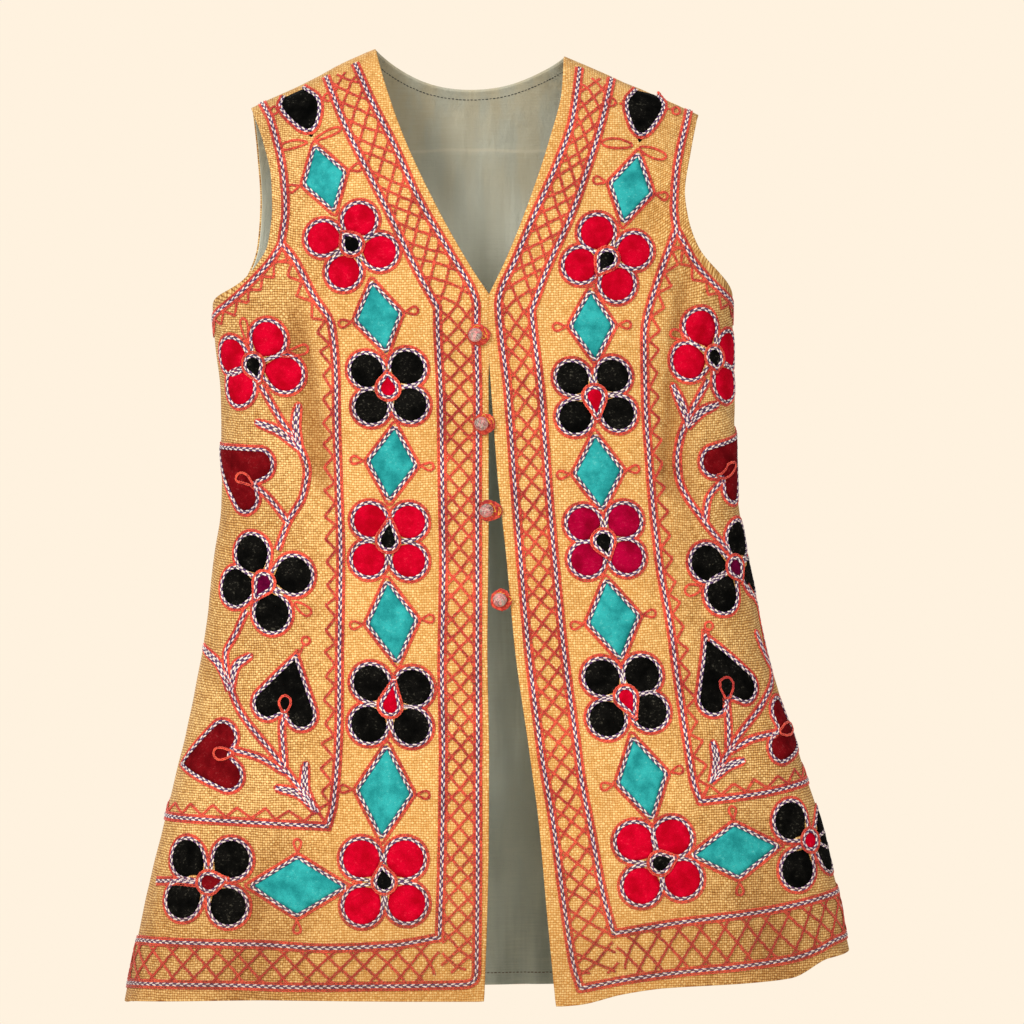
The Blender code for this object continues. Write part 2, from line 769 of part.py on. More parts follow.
def loop(name, x, z, edge_x, collection):
    """A thread loop round the foot of a ball, drawn out to the edge of the front that carries it."""
    path = bpy.data.curves.new(name, "CURVE")
    path.dimensions = "3D"
    path.bevel_depth = LOOP_THREAD * MM
    path.bevel_resolution = 1
    spline = path.splines.new("POLY")
    spline.points.add(LOOP_POINTS - 1)
    spline.use_cyclic_u = True
    reach = max(edge_x + LOOP_ON_EDGE - x, LOOP_RING)
    for i, point in enumerate(spline.points):
        turn = 2 * math.pi * i / LOOP_POINTS
        across = math.cos(turn) * (reach if math.cos(turn) > 0 else LOOP_RING)
        s, height = seen_place(x + across, z + LOOP_RING * math.sin(turn))
        point.co = (*(surface(s, height, LOOP_THREAD + LAYER_GAP) * MM), 1)
    made = bpy.data.objects.new(name, path)
    path.materials.append(material("loop_thread"))
    collection.objects.link(made)
    return made


def new_collection(name):
    made = bpy.data.collections.new(name)
    bpy.context.scene.collection.children.link(made)
    return made


def main():
    for old in list(bpy.data.objects):
        bpy.data.objects.remove(old)
    waistcoat = new_collection("embroidered_waistcoat")
    joined = new_collection("joined_in")

    left = front_grid(-1, LEFT_FRONT_EDGE, LEFT_NECK_EDGE, LEFT_ARMHOLE, LEFT_HEM)
    right = front_grid(1, RIGHT_FRONT_EDGE, RIGHT_NECK_EDGE, RIGHT_ARMHOLE, RIGHT_HEM)
    back = back_grid()
    panel("front_button_side", left[:, ::-1], waistcoat, "burlap", CLOTH)
    panel("front_loop_side", right, waistcoat, "burlap", CLOTH)
    panel("back", back, waistcoat, "burlap", CLOTH)
    panel("back_lining", back, waistcoat, "lining_cotton", LINING, lift=-(CLOTH + LAYER_GAP))

    for side, table in (("left", LEFT_MOTIFS), ("right", RIGHT_MOTIFS)):
        for name, *row in table:
            motif(f"applique_{side}_{name}", *row, waistcoat)

    for number, (x, z, loop_shift) in enumerate(BUTTONS, 1):
        ball = button(f"button_{number}", x, z, waistcoat)
        left_edge, right_edge = edge_at(LEFT_FRONT_EDGE, z), edge_at(RIGHT_FRONT_EDGE, z)
        if x > left_edge:
            tie_to_edge(ball, x, z, left_edge, joined)
        loop(f"loop_{number}", x + loop_shift, z, right_edge, waistcoat)


main()
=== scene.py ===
import math
from collections import namedtuple

import bpy
import numpy as np
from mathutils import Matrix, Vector


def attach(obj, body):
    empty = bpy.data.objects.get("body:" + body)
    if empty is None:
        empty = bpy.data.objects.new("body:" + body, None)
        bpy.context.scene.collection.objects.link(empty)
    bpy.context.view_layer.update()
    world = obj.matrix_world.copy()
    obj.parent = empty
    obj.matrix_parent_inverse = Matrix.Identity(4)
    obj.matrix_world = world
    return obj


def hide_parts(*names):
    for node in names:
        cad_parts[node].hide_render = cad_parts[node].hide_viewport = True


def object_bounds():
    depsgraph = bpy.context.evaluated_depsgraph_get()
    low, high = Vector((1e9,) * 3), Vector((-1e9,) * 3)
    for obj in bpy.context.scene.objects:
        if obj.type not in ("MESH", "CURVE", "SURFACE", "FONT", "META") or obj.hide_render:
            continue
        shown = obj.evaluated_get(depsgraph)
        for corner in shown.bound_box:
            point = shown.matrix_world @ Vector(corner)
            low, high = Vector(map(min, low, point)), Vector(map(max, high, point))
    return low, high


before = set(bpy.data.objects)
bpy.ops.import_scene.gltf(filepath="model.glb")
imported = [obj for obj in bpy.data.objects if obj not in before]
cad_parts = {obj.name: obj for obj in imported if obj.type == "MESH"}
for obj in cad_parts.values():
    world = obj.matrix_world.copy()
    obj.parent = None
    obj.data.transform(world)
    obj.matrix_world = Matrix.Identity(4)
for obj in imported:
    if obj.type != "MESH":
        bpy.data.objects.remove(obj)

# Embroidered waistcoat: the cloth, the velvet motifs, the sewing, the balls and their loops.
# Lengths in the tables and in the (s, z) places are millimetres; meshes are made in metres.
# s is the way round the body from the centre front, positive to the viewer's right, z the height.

CAD_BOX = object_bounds()
MM = 0.001
BODY = "root"


def table(columns, *rows):
    """Rows of numbers and names under named columns."""
    row = namedtuple("Row", columns)
    return [row(*values) for values in rows]


# The form of the body, as in the part's source

CLOTH = 2.0
LINING = 1.0
LAYER_GAP = 0.4
SHOULDER_SEAM_GAP = 0.9
VIEW_X = 30.0
VIEW_Z = -346.0
VIEW_DISTANCE = 4400.0
SEEN_PLANE_Y = -75.0
SHOULDER_ROUNDING = 150.0
SECTIONS = table(
    "z centre_x half_width half_depth squareness",
    (60, 0, 211, 70, 2.4),
    (-90, -1, 211.5, 72, 2.4),
    (-180, -2, 211.5, 75, 2.4),
    (-255, 2, 208.5, 74, 2.4),
    (-336, 3.5, 210, 74, 2.4),
    (-393, 5, 218.5, 76, 2.4),
    (-450, 7, 227.5, 79, 2.45),
    (-547, 12, 252, 86, 2.5),
    (-637, 13, 275, 92, 2.6),
    (-760, 12, 300, 97, 2.6),
)
SHOULDER_LINE = table(
    "x z",
    (-240, -46),
    (-182, -17),
    (-141, 1.5),
    (-83, 30),
    (0, 52),
    (72, 25),
    (134, -2),
    (181, -22.5),
    (240, -52),
)
SIDE_SEAMS = table(
    "z left right",
    (-170, 12, 28),
    (-400, 14, 40),
    (-760, 20, 76),
)
FRONT_EDGE = {
    "left": [(6.8, -737), (9.8, -650), (10.6, -540), (10.4, -350), (10.3, -245),
             (11, -212), (10.8, -172)],
    "right": [(66, -741), (58, -657), (52, -591), (44, -532), (34.5, -466),
              (26.5, -383), (18, -300), (13.4, -235), (12.6, -172)],
}
NECK_EDGE = {
    "left": [(10.8, -172), (-2, -153), (-31, -102), (-59, -42), (-75, 5),
             (-80, 24)],
    "right": [(12.6, -172), (26, -144), (44, -99), (61, -48), (71, -8),
              (72.5, 18)],
}
ARMHOLE = {
    "left": [(-211, -183), (-188, -163), (-173, -147), (-165, -132),
             (-161.5, -104), (-162, -82), (-169, -48), (-178, -22)],
    "right": [(206.5, -172), (193, -152), (179, -134), (170.5, -111),
              (168, -90), (173, -55), (178, -28)],
}
HEM = {
    "left": [(6.8, -737), (-150, -736), (-270, -736.5)],
    "right": [(66, -741), (84, -739.5), (119, -731), (153, -726), (221, -722),
              (255, -718), (284, -702)],
}
BACK_ARMHOLE = table(
    "height_share left right",
    (0, 204, 204),
    (0.14, 190, 186),
    (0.32, 179, 172),
    (0.55, 176, 168.5),
    (0.8, 178.5, 174),
    (1, 181, 181),
)
BACK_ARMHOLE_RISE = 6.0
BACK_NECK_DIP = 1.0
BACK_NECK_ROUNDING = 2.2
BACK_SHOULDER_SHARE = 0.29
BACK_HEM = table(
    "share z",
    (0, -697),
    (0.15, -722),
    (0.3, -737),
    (0.5, -738),
    (0.75, -740),
    (1, -745),
)
# Heights of the side seams' ends
SIDE_HEM = {"left": -745, "right": -697.0}
UNDERARM = {"left": -187, "right": -181.0}
SIGN = {"left": -1, "right": 1}
# Broad folds, their places in quarters of the way round
FOLDS = table(
    "panel top_share top_z foot_share foot_z spread rise",
    ("left", -0.68, -165, -0.53, -345, 19, -3),
    ("left", -0.86, -180, -0.76, -330, 18, 1.6),
    ("left", -0.55, -560, -0.60, -740, 22, -3),
    ("left", -0.78, -520, -0.84, -740, 24, 3),
    ("left", -0.25, -600, -0.24, -740, 26, 2.5),
    ("right", 0.74, -170, 0.68, -460, 19, -2.8),
    ("right", 0.90, -200, 0.86, -420, 18, 1.6),
    ("right", 0.45, -560, 0.47, -740, 26, 2.5),
    ("right", 0.70, -540, 0.72, -740, 22, -3.5),
    ("right", 0.93, -520, 0.96, -740, 22, 3),
    ("back", 1.36, -400, 1.34, -740, 34, 5),
    ("back", 1.62, -330, 1.60, -740, 34, -4.5),
    ("back", 1.88, -60, 1.87, -740, 32, 4.5),
    ("back", 2.12, -40, 2.13, -740, 32, -4),
    ("back", 2.38, -300, 2.40, -740, 34, 5),
    ("back", 2.64, -400, 2.67, -740, 34, -4),
)
# Share of a fold's length over which it fades in
FOLD_FADE = 0.35
HEM_FOLD_Z = -700.0

# Short creases in the fronts, as seen, from one end to the other
WRINKLES = table(
    "x_1 z_1 x_2 z_2 spread rise",
    (-146, -170, -132, -262, 7.5, -3.6),
    (-132, -262, -118, -340, 6.5, -3.2),
    (-200, -262, -172, -292, 5, -1.5),
    (-190, -190, -164, -176, 6, -1.6),
    (-196, -440, -150, -462, 6, -1.5),
    (-122, -410, -136, -452, 5, -1.6),
    (-218, -470, -186, -494, 6, -1.6),
    (-226, -578, -176, -560, 7, -1.7),
    (-176, -640, -180, -676, 6, -1.6),
    (-110, -666, -160, -684, 6, -1.3),
    (-86, -96, -120, -160, 7, -1.2),
    (172, -150, 160, -250, 7.5, -3.6),
    (160, -250, 156, -330, 6.5, -3),
    (196, -250, 222, -278, 5, -1.5),
    (150, -300, 178, -340, 6, -1.8),
    (176, -420, 196, -466, 6, -1.8),
    (226, -498, 210, -540, 6, -1.6),
    (158, -590, 186, -600, 6, -2),
    (176, -640, 152, -664, 6, -1.8),
    (116, -560, 102, -600, 6, -1.6),
    (196, -648, 228, -662, 6, -1.6),
    (150, -100, 138, -132, 6, -1.4),
)

# Small puckers of the sewn cloth: wave lengths along s and z, phase and height
PUCKERS = table(
    "across down phase height",
    (61, 143, 0.3, 0.16),
    (-47, 88, 1.9, 0.13),
    (93, -71, 4.1, 0.16),
    (34, 212, 2.6, 0.08),
    (-128, -39, 5.2, 0.10),
)


def smooth(x, xs, ys):
    """A smooth curve through the points (xs, ys) that never swings past them, read at x."""
    xs, ys = np.asarray(xs, float), np.asarray(ys, float)
    steps = np.diff(xs)
    slopes = np.diff(ys) / steps
    before, after = slopes[:-1], slopes[1:]
    same_way = before * after > 0
    total = np.where(same_way, before + after, 1.0)
    inner = np.where(same_way, 2 * before * after / total, 0.0)
    tangents = np.concatenate((slopes[:1], inner, slopes[-1:]))
    i = np.clip(np.searchsorted(xs, x) - 1, 0, len(xs) - 2)
    t = np.clip((x - xs[i]) / steps[i], 0.0, 1.0)
    t2, t3 = t * t, t * t * t
    return (
        (2 * t3 - 3 * t2 + 1) * ys[i]
        + (t3 - 2 * t2 + t) * steps[i] * tangents[i]
        + (3 * t2 - 2 * t3) * ys[i + 1]
        + (t3 - t2) * steps[i] * tangents[i + 1]
    )


def columns(rows):
    """The number columns of a table, each as an array, with the first one rising."""
    return [np.array(column) for column in zip(*sorted(rows))]


SECTION_TABLE = columns(SECTIONS)
SHOULDER_TABLE = columns(SHOULDER_LINE)
SEAM_TABLE = columns(SIDE_SEAMS)
# How finely the body's form is laid out: heights, places kept and places tried round each
LEVEL_STEP = 4.0
LEVELS = np.arange(-784.0, 80.0, LEVEL_STEP)
AROUND = 1440
TURNS = 2880


def section_sizes(z):
    """The centre, half width, half depth and squareness of the section at a height."""
    return [smooth(z, SECTION_TABLE[0], column) for column in SECTION_TABLE[1:]]


def lay_out_sections():
    """Each level's places at even steps round it, its length round, and the way round at each turn."""
    turn = np.linspace(0, 2 * math.pi, TURNS + 1)
    across, along = np.sin(turn), -np.cos(turn)
    xs, ys, rounds, ways = [], [], [], []
    for z in LEVELS:
        centre, width, depth, square = section_sizes(z)
        x = centre + width * np.sign(across) * np.abs(across) ** (2 / square)
        y = depth * np.sign(along) * np.abs(along) ** (2 / square)
        s = np.concatenate(([0.0], np.cumsum(np.hypot(np.diff(x), np.diff(y)))))
        even = np.linspace(0, s[-1], AROUND + 1)
        xs.append(np.interp(even, s, x))
        ys.append(np.interp(even, s, y))
        rounds.append(s[-1])
        ways.append(s[: TURNS // 4 + 1])
    return np.array(xs), np.array(ys), np.array(rounds), np.array(ways)


LEVEL_X, LEVEL_Y, LEVEL_ROUND, LEVEL_WAY = lay_out_sections()


def read_grid(grid, row, column):
    """A grid read between its rows and columns."""
    r = np.clip(np.floor(row).astype(int), 0, grid.shape[0] - 2)
    c = np.clip(np.floor(column).astype(int), 0, grid.shape[1] - 2)
    down, over = row - r, column - c
    return (1 - down) * ((1 - over) * grid[r, c] + over * grid[r, c + 1]) + down * (
        (1 - over) * grid[r + 1, c] + over * grid[r + 1, c + 1]
    )


def round_at(z):
    """The length round the body at a height."""
    return np.interp(z, LEVELS, LEVEL_ROUND)


def bare_point(s, z):
    """The body's surface without its folds."""
    row = (z - LEVELS[0]) / LEVEL_STEP
    column = (s / round_at(z) % 1.0) * AROUND
    x, y = read_grid(LEVEL_X, row, column), read_grid(LEVEL_Y, row, column)
    below = np.clip(smooth(x, *SHOULDER_TABLE) - z, 0.0, SHOULDER_ROUNDING)
    depth = np.sqrt(1 - (1 - below / SHOULDER_ROUNDING) ** 2)
    seam = np.copysign(SHOULDER_SEAM_GAP / 2, y)
    return np.stack((x, y * depth + seam * (1 - depth), z), axis=-1)


def unit(vectors):
    """The vectors made one long."""
    return vectors / np.maximum(np.linalg.norm(vectors, axis=-1, keepdims=True), 1e-9)


def normal(s, z):
    """The outward direction of the surface."""
    step = 1.0
    low = z - step
    round_here, round_low = round_at(z), round_at(low)
    same = np.where(s % round_here < round_here / 2, s, s - round_here + round_low)
    along = bare_point(s + step, low) - bare_point(s - step, low)
    up = bare_point(s, z) - bare_point(same, low)
    return unit(np.cross(along, up))


def eased(share):
    """A share that starts and ends gently."""
    share = np.clip(share, 0.0, 1.0)
    return share * share * (3 - 2 * share)


def fold_rise(s, z):
    """How far the folds and puckers push the cloth out at a place."""
    quarter = s / (round_at(z) / 4)
    rise = np.zeros_like(quarter)
    for fold in FOLDS:
        place = quarter % 4 if fold.panel == "back" else quarter
        down = (fold.top_z - z) / (fold.top_z - fold.foot_z)
        line = fold.top_share + (fold.foot_share - fold.top_share) * np.minimum(down, 1.0)
        off = (place - line) * round_at(z) / 4 / fold.spread
        ends_low = 1.0 if fold.foot_z < HEM_FOLD_Z else eased((1 - down) / FOLD_FADE)
        rise += fold.rise * eased(down / FOLD_FADE) * ends_low * np.exp(-0.5 * off * off)
    for wrinkle, start, way in WRINKLE_LINES:
        off_s, off_z = s - start[0], z - start[1]
        share = np.clip((off_s * way[0] + off_z * way[1]) / (way @ way), 0.0, 1.0)
        off = np.hypot(off_s - share * way[0], off_z - share * way[1]) / wrinkle.spread
        rise += wrinkle.rise * (0.6 + 3.0 * share * (1 - share)) * np.exp(-0.5 * off * off)
    for wave in PUCKERS:
        rise += wave.height * np.sin(2 * math.pi * (s / wave.across + z / wave.down) + wave.phase)
    return rise


def surface(s, z, lift=0.0):
    """A point of the garment's outer face, or lifted off it."""
    s, z = np.broadcast_arrays(np.asarray(s, float), np.asarray(z, float))
    return bare_point(s, z) + normal(s, z) * (fold_rise(s, z) + lift)[..., None]


def way_across(x, z):
    """The way round the front to a place across the body, negative on the left."""
    centre, width, _, square = section_sizes(z)
    share = np.clip((x - centre) / width, -1.0, 1.0)
    turn = np.arcsin(np.abs(share) ** (square / 2)) / (math.pi / 2) * (TURNS // 4)
    return np.sign(share) * read_grid(LEVEL_WAY, (z - LEVELS[0]) / LEVEL_STEP, turn)


def seen_place(x, z):
    """The (s, z) place of the point of the front that is seen at a place."""
    x, z = np.asarray(x, float), np.asarray(z, float)
    y = np.full_like(x, SEEN_PLANE_Y)
    for _ in range(8):
        nearness = (VIEW_DISTANCE + y - SEEN_PLANE_Y) / VIEW_DISTANCE
        real_x = VIEW_X + (x - VIEW_X) * nearness
        real_z = VIEW_Z + (z - VIEW_Z) * nearness
        s = way_across(real_x, real_z)
        y = bare_point(s, real_z)[..., 1]
    return np.stack((s, real_z), axis=-1)


def seen(points):
    """The (s, z) places of a list of seen (x, z) points."""
    points = np.array(points, float)
    return seen_place(points[:, 0], points[:, 1])


def wrinkle_lines():
    """Each wrinkle with the (s, z) place where it starts and the way to its end."""
    lines = []
    for row in WRINKLES:
        start, end = seen([(row.x_1, row.z_1), (row.x_2, row.z_2)])
        lines.append((row, start, end - start))
    return lines


WRINKLE_LINES = wrinkle_lines()


def lengths(points):
    """How far along a line each of its points is."""
    points = np.asarray(points, float)
    steps = np.linalg.norm(np.diff(points, axis=0), axis=1)
    return np.concatenate(([0.0], np.cumsum(steps)))


def resample(points, shares):
    """Places at the given shares of the length of a smooth line through the points."""
    points = np.asarray(points, float)
    along = lengths(points)
    at = np.asarray(shares) * along[-1]
    return np.stack([smooth(at, along, points[:, k]) for k in range(points.shape[1])], axis=-1)


def drawn(points, step=2.0):
    """A smooth line through the points, with a point every step."""
    count = max(3, int(math.ceil(lengths(points)[-1] / step)) + 1)
    return resample(points, np.linspace(0, 1, count))


def side_seam(z, side):
    """The way round to a side seam, negative on the left."""
    behind = smooth(z, SEAM_TABLE[0], SEAM_TABLE[1 if side == "left" else 2])
    return SIGN[side] * (round_at(z) / 4 + behind)


# The cloth panels

FRONT_COLUMNS = 84
BACK_COLUMNS = 144
LOWER_ROWS = 116
UPPER_ROWS = 52
ROW_CROWDING = 1.3
SEAM_INSET = 0.8
THREAD_PITCH = 2.0


def patch(bottom, top, left, right):
    """A grid of (s, z) places filled in between four edges, rows from the bottom up."""
    u = np.linspace(0, 1, len(bottom))[None, :, None]
    v = np.linspace(0, 1, len(left))[:, None, None]
    corners = (1 - u) * ((1 - v) * left[0] + v * left[-1])
    corners = corners + u * ((1 - v) * right[0] + v * right[-1])
    return (1 - u) * left[:, None] + u * right[:, None] + (1 - v) * bottom + v * top - corners


LOWER_SHARES = np.linspace(0, 1, LOWER_ROWS + 1)
UPPER_SHARES = 1 - (1 - np.linspace(0, 1, UPPER_ROWS + 1)) ** ROW_CROWDING


def seam_rows(side):
    """The rows of a side seam from the hem up to the underarm."""
    z = SIDE_HEM[side] + (UNDERARM[side] - SIDE_HEM[side]) * LOWER_SHARES
    return np.stack((side_seam(z, side), z), axis=-1)


def front_grid(side):
    """The (s, z) grid of one front: columns from the front edge to the side seam."""
    shares = np.linspace(0, 1, FRONT_COLUMNS + 1)
    edge_low = resample(seen(FRONT_EDGE[side]), LOWER_SHARES)
    edge_high = resample(seen(NECK_EDGE[side]), UPPER_SHARES)
    seam_low = seam_rows(side) - np.array((SIGN[side] * SEAM_INSET, 0.0))
    arm_high = resample(np.concatenate((seam_low[-1:], seen(ARMHOLE[side]))), UPPER_SHARES)
    hem_line = resample(np.concatenate((seen(HEM[side]), seam_low[:1])), shares)
    hem_line[0] = edge_low[0]
    middle = edge_low[-1] + (seam_low[-1] - edge_low[-1]) * shares[:, None]
    shoulder = edge_high[-1] + (arm_high[-1] - edge_high[-1]) * shares[:, None]
    x = bare_point(shoulder[:, 0], shoulder[:, 1])[:, 0]
    shoulder[:, 1] = smooth(x, *SHOULDER_TABLE)
    edge_high[-1], arm_high[-1] = shoulder[0], shoulder[-1]
    lower = patch(hem_line, middle, edge_low, seam_low)
    return np.concatenate((lower, patch(middle, shoulder, edge_high, arm_high)[1:]))


def back_way(x, z):
    """The way round to the point of the back over a place across the body."""
    return round_at(z) / 2 - way_across(x, z)


def back_armhole(side):
    """The (s, z) line of the back's armhole, from the underarm to the shoulder tip."""
    foot = UNDERARM[side] + BACK_ARMHOLE_RISE
    width = np.array([getattr(row, side) for row in BACK_ARMHOLE])
    share = np.array([row.height_share for row in BACK_ARMHOLE])
    x = SIGN[side] * width
    z = foot + (smooth(x, *SHOULDER_TABLE) - foot) * share
    start = UNDERARM[side]
    way = side_seam(start, side) % round_at(start)
    line = np.stack((back_way(x, z), z), axis=-1)
    return np.concatenate(([(way + SIGN[side] * SEAM_INSET, start)], line))


def back_top():
    """The back's top edge from the right shoulder tip to the left one, and its neck alone."""
    neck = {}
    for side in ("left", "right"):
        place = seen(NECK_EDGE[side][-1:])
        neck[side] = bare_point(place[:, 0], place[:, 1])[0, 0]
    tips = BACK_ARMHOLE[-1]
    shares = np.linspace(0, 1, BACK_COLUMNS + 1)
    x, z = np.empty_like(shares), np.empty_like(shares)
    in_neck = np.zeros(len(shares), bool)
    for i, share in enumerate(shares):
        right, left = share / BACK_SHOULDER_SHARE, (1 - share) / BACK_SHOULDER_SHARE
        if right < 1:
            x[i] = tips.right + (neck["right"] - tips.right) * right
        elif left < 1:
            x[i] = -tips.left + (neck["left"] + tips.left) * left
        else:
            t = (share - BACK_SHOULDER_SHARE) / (1 - 2 * BACK_SHOULDER_SHARE)
            x[i] = neck["right"] + (neck["left"] - neck["right"]) * t
            in_neck[i] = True
            ends = smooth(neck["right"], *SHOULDER_TABLE), smooth(neck["left"], *SHOULDER_TABLE)
            rim = ends[0] * (1 - t) + ends[1] * t
            z[i] = BACK_NECK_DIP + (rim - BACK_NECK_DIP) * abs(2 * t - 1) ** BACK_NECK_ROUNDING
    z[~in_neck] = smooth(x[~in_neck], *SHOULDER_TABLE)
    line = np.stack((back_way(x, z), z), axis=-1)
    return line, line[in_neck]


def back_grid():
    """The (s, z) grid of the back: columns from the right side seam round to the left one."""
    shares = np.linspace(0, 1, BACK_COLUMNS + 1)
    right_side, left_side = seam_rows("right"), seam_rows("left")
    right_side[:, 0] += SEAM_INSET
    left_side[:, 0] += round_at(left_side[:, 1]) - SEAM_INSET
    z = smooth(shares, *columns(BACK_HEM))
    start = side_seam(z, "right") + SEAM_INSET
    end = round_at(z) + side_seam(z, "left") - SEAM_INSET
    hem = np.stack((start + (end - start) * shares, z), axis=-1)
    hem[0], hem[-1] = right_side[0], left_side[0]
    middle = right_side[-1] + (left_side[-1] - right_side[-1]) * shares[:, None]
    top, _ = back_top()
    right_arm = resample(back_armhole("right"), UPPER_SHARES)
    left_arm = resample(back_armhole("left"), UPPER_SHARES)
    right_arm[0], left_arm[0] = right_side[-1], left_side[-1]
    right_arm[-1], left_arm[-1] = top[0], top[-1]
    lower = patch(hem, middle, right_side, left_side)
    return np.concatenate((lower, patch(middle, top, right_arm, left_arm)[1:]))


def new_object(name, points, faces, materials, smooth_shaded=True):
    """A mesh object of points in millimetres."""
    mesh = bpy.data.meshes.new(name)
    mesh.from_pydata(np.asarray(points, float) * MM, [], faces)
    for material in materials:
        mesh.materials.append(material)
    mesh.update()
    if smooth_shaded:
        mesh.shade_smooth()
    made = bpy.data.objects.new(name, mesh)
    bpy.context.scene.collection.objects.link(made)
    return made


def cloth_down(grid, points):
    """How far down the cloth each place of a grid is, along the cloth itself."""
    steps = np.linalg.norm(np.diff(points, axis=0), axis=-1)
    across = np.abs(np.diff(grid[..., 0], axis=0))
    down = np.sqrt(np.maximum(steps**2 - across**2, (0.3 * steps) ** 2))
    down = np.copysign(down, np.diff(grid[..., 1], axis=0))
    return grid[0, :, 1] + np.concatenate((np.zeros((1, grid.shape[1])), np.cumsum(down, axis=0)))


def rim_of(rows, across):
    """The places of a grid round its edge, counter-clockwise as seen from outside."""
    edge = [(0, i) for i in range(across)]
    edge += [(j, across - 1) for j in range(1, rows)]
    edge += [(rows - 1, i) for i in range(across - 2, -1, -1)]
    edge += [(j, 0) for j in range(rows - 2, 0, -1)]
    return np.array([j * across + i for j, i in edge])


RIM_TURNS = (40.0, 90.0, 140.0)
# Depths of a fold at which its hollow is shaded most
HOLLOW_FULL = 6.0
LINING_HOLLOW_FULL = 3.2
LINING_SHADE = 0.62


def cloth_wall(name, grid, thickness, outside, inside, lift=0.0, wave=None, faced=None):
    """A cloth panel with a rounded edge, its weave laid out in its own UV map.

    faced tells which columns of the top edge the inner cloth is turned over.
    """
    rows, across, _ = grid.shape
    s, z = grid[..., 0].ravel(), grid[..., 1].ravel()
    extra = np.zeros_like(s) if wave is None else wave(s, z)
    outward = normal(s, z)
    outer = surface(s, z, lift + extra)
    inner = outer - outward * thickness
    down = cloth_down(grid, outer.reshape(rows, across, 3)).ravel()
    rim = rim_of(rows, across)
    middle = (outer[rim] + inner[rim]) / 2
    ahead = unit(np.roll(middle, -1, axis=0) - np.roll(middle, 1, axis=0))
    out = unit(np.cross(ahead, outward[rim]))
    rings = []
    for turn in RIM_TURNS:
        angle = math.radians(turn)
        rings.append(middle + (outward[rim] * math.cos(angle) + out * math.sin(angle)) * thickness / 2)
    points = np.concatenate([outer, inner] + rings)
    # The hollow values set where painted shade falls: in the hollows of the folds, and on the lining everywhere but
    # the ridges of its folds.
    depth = -fold_rise(s, z) / HOLLOW_FULL
    within_lining = -depth if wave is None else LINING_SHADE + extra / LINING_HOLLOW_FULL
    hollows = np.concatenate([depth, within_lining] + [depth[rim] * 0.5] * len(rings))
    faces, slots = [], []
    count = rows * across
    for j in range(rows - 1):
        for i in range(across - 1):
            a = j * across + i
            b = a + across
            faces += [(a, a + 1, b + 1, b), (count + b, count + b + 1, count + a + 1, count + a)]
            slots += [0, 1]
    around = len(rim)
    bands = [rim] + [2 * count + k * around + np.arange(around) for k in range(len(rings))]
    bands.append(rim + count)
    for high, low in zip(bands, bands[1:]):
        for k in range(around):
            m = (k + 1) % around
            faces.append((int(high[k]), int(low[k]), int(low[m]), int(high[m])))
            column = rim[k] - (rows - 1) * across
            slots.append(1 if faced is not None and column >= 0 and faced[column] else 0)
    made = new_object(name, points, faces, [outside, inside])
    made.data.polygons.foreach_set("material_index", slots)
    hollow = made.data.attributes.new("hollow", "FLOAT", "POINT")
    hollow.data.foreach_set("value", hollows.astype(np.float32))
    spread = np.concatenate([s, s] + [s[rim]] * len(rings))
    drop = np.concatenate([down, down] + [down[rim]] * len(rings))
    uv = made.data.uv_layers.new(name="weave")
    corners = np.empty(len(made.data.loops), np.int32)
    made.data.loops.foreach_get("vertex_index", corners)
    laid = np.stack((spread[corners], drop[corners]), axis=-1) / THREAD_PITCH
    uv.data.foreach_set("uv", laid.astype(np.float32).ravel())
    return made


# Finishes


class Wire:
    """An output of a finish's nodes that sums can be written with."""

    def __init__(self, finish, socket):
        self.finish, self.socket = finish, socket

    def __getitem__(self, name):
        return Wire(self.finish, self.socket.node.outputs[name])

    def sum(self, operation, *others):
        return self.finish.node("ShaderNodeMath", {"operation": operation}, dict(enumerate((self,) + others)))

    def __add__(self, other):
        return self.sum("ADD", other)

    def __sub__(self, other):
        return self.sum("SUBTRACT", other)

    def __mul__(self, other):
        return self.sum("MULTIPLY", other)

    def __truediv__(self, other):
        return self.sum("DIVIDE", other)

    def __pow__(self, other):
        return self.sum("POWER", other)

    def __gt__(self, other):
        return self.sum("GREATER_THAN", other)

    def __rsub__(self, other):
        return self.finish.node("ShaderNodeMath", {"operation": "SUBTRACT"}, {0: other, 1: self})

    __radd__ = __add__
    __rmul__ = __mul__

    def floor(self):
        return self.sum("FLOOR")

    def cos(self):
        return self.sum("COSINE")

    def sin(self):
        return self.sum("SINE")

    def root(self):
        return self.sum("SQRT")

    def most(self, other):
        return self.sum("MAXIMUM", other)

    def between(self, low, high, bottom=0.0, top=1.0):
        """Eased from bottom to top as this goes from low to high."""
        inputs = {"Value": self, 1: low, 2: high, 3: bottom, 4: top}
        return self.finish.node("ShaderNodeMapRange", {"interpolation_type": "SMOOTHSTEP"}, inputs)


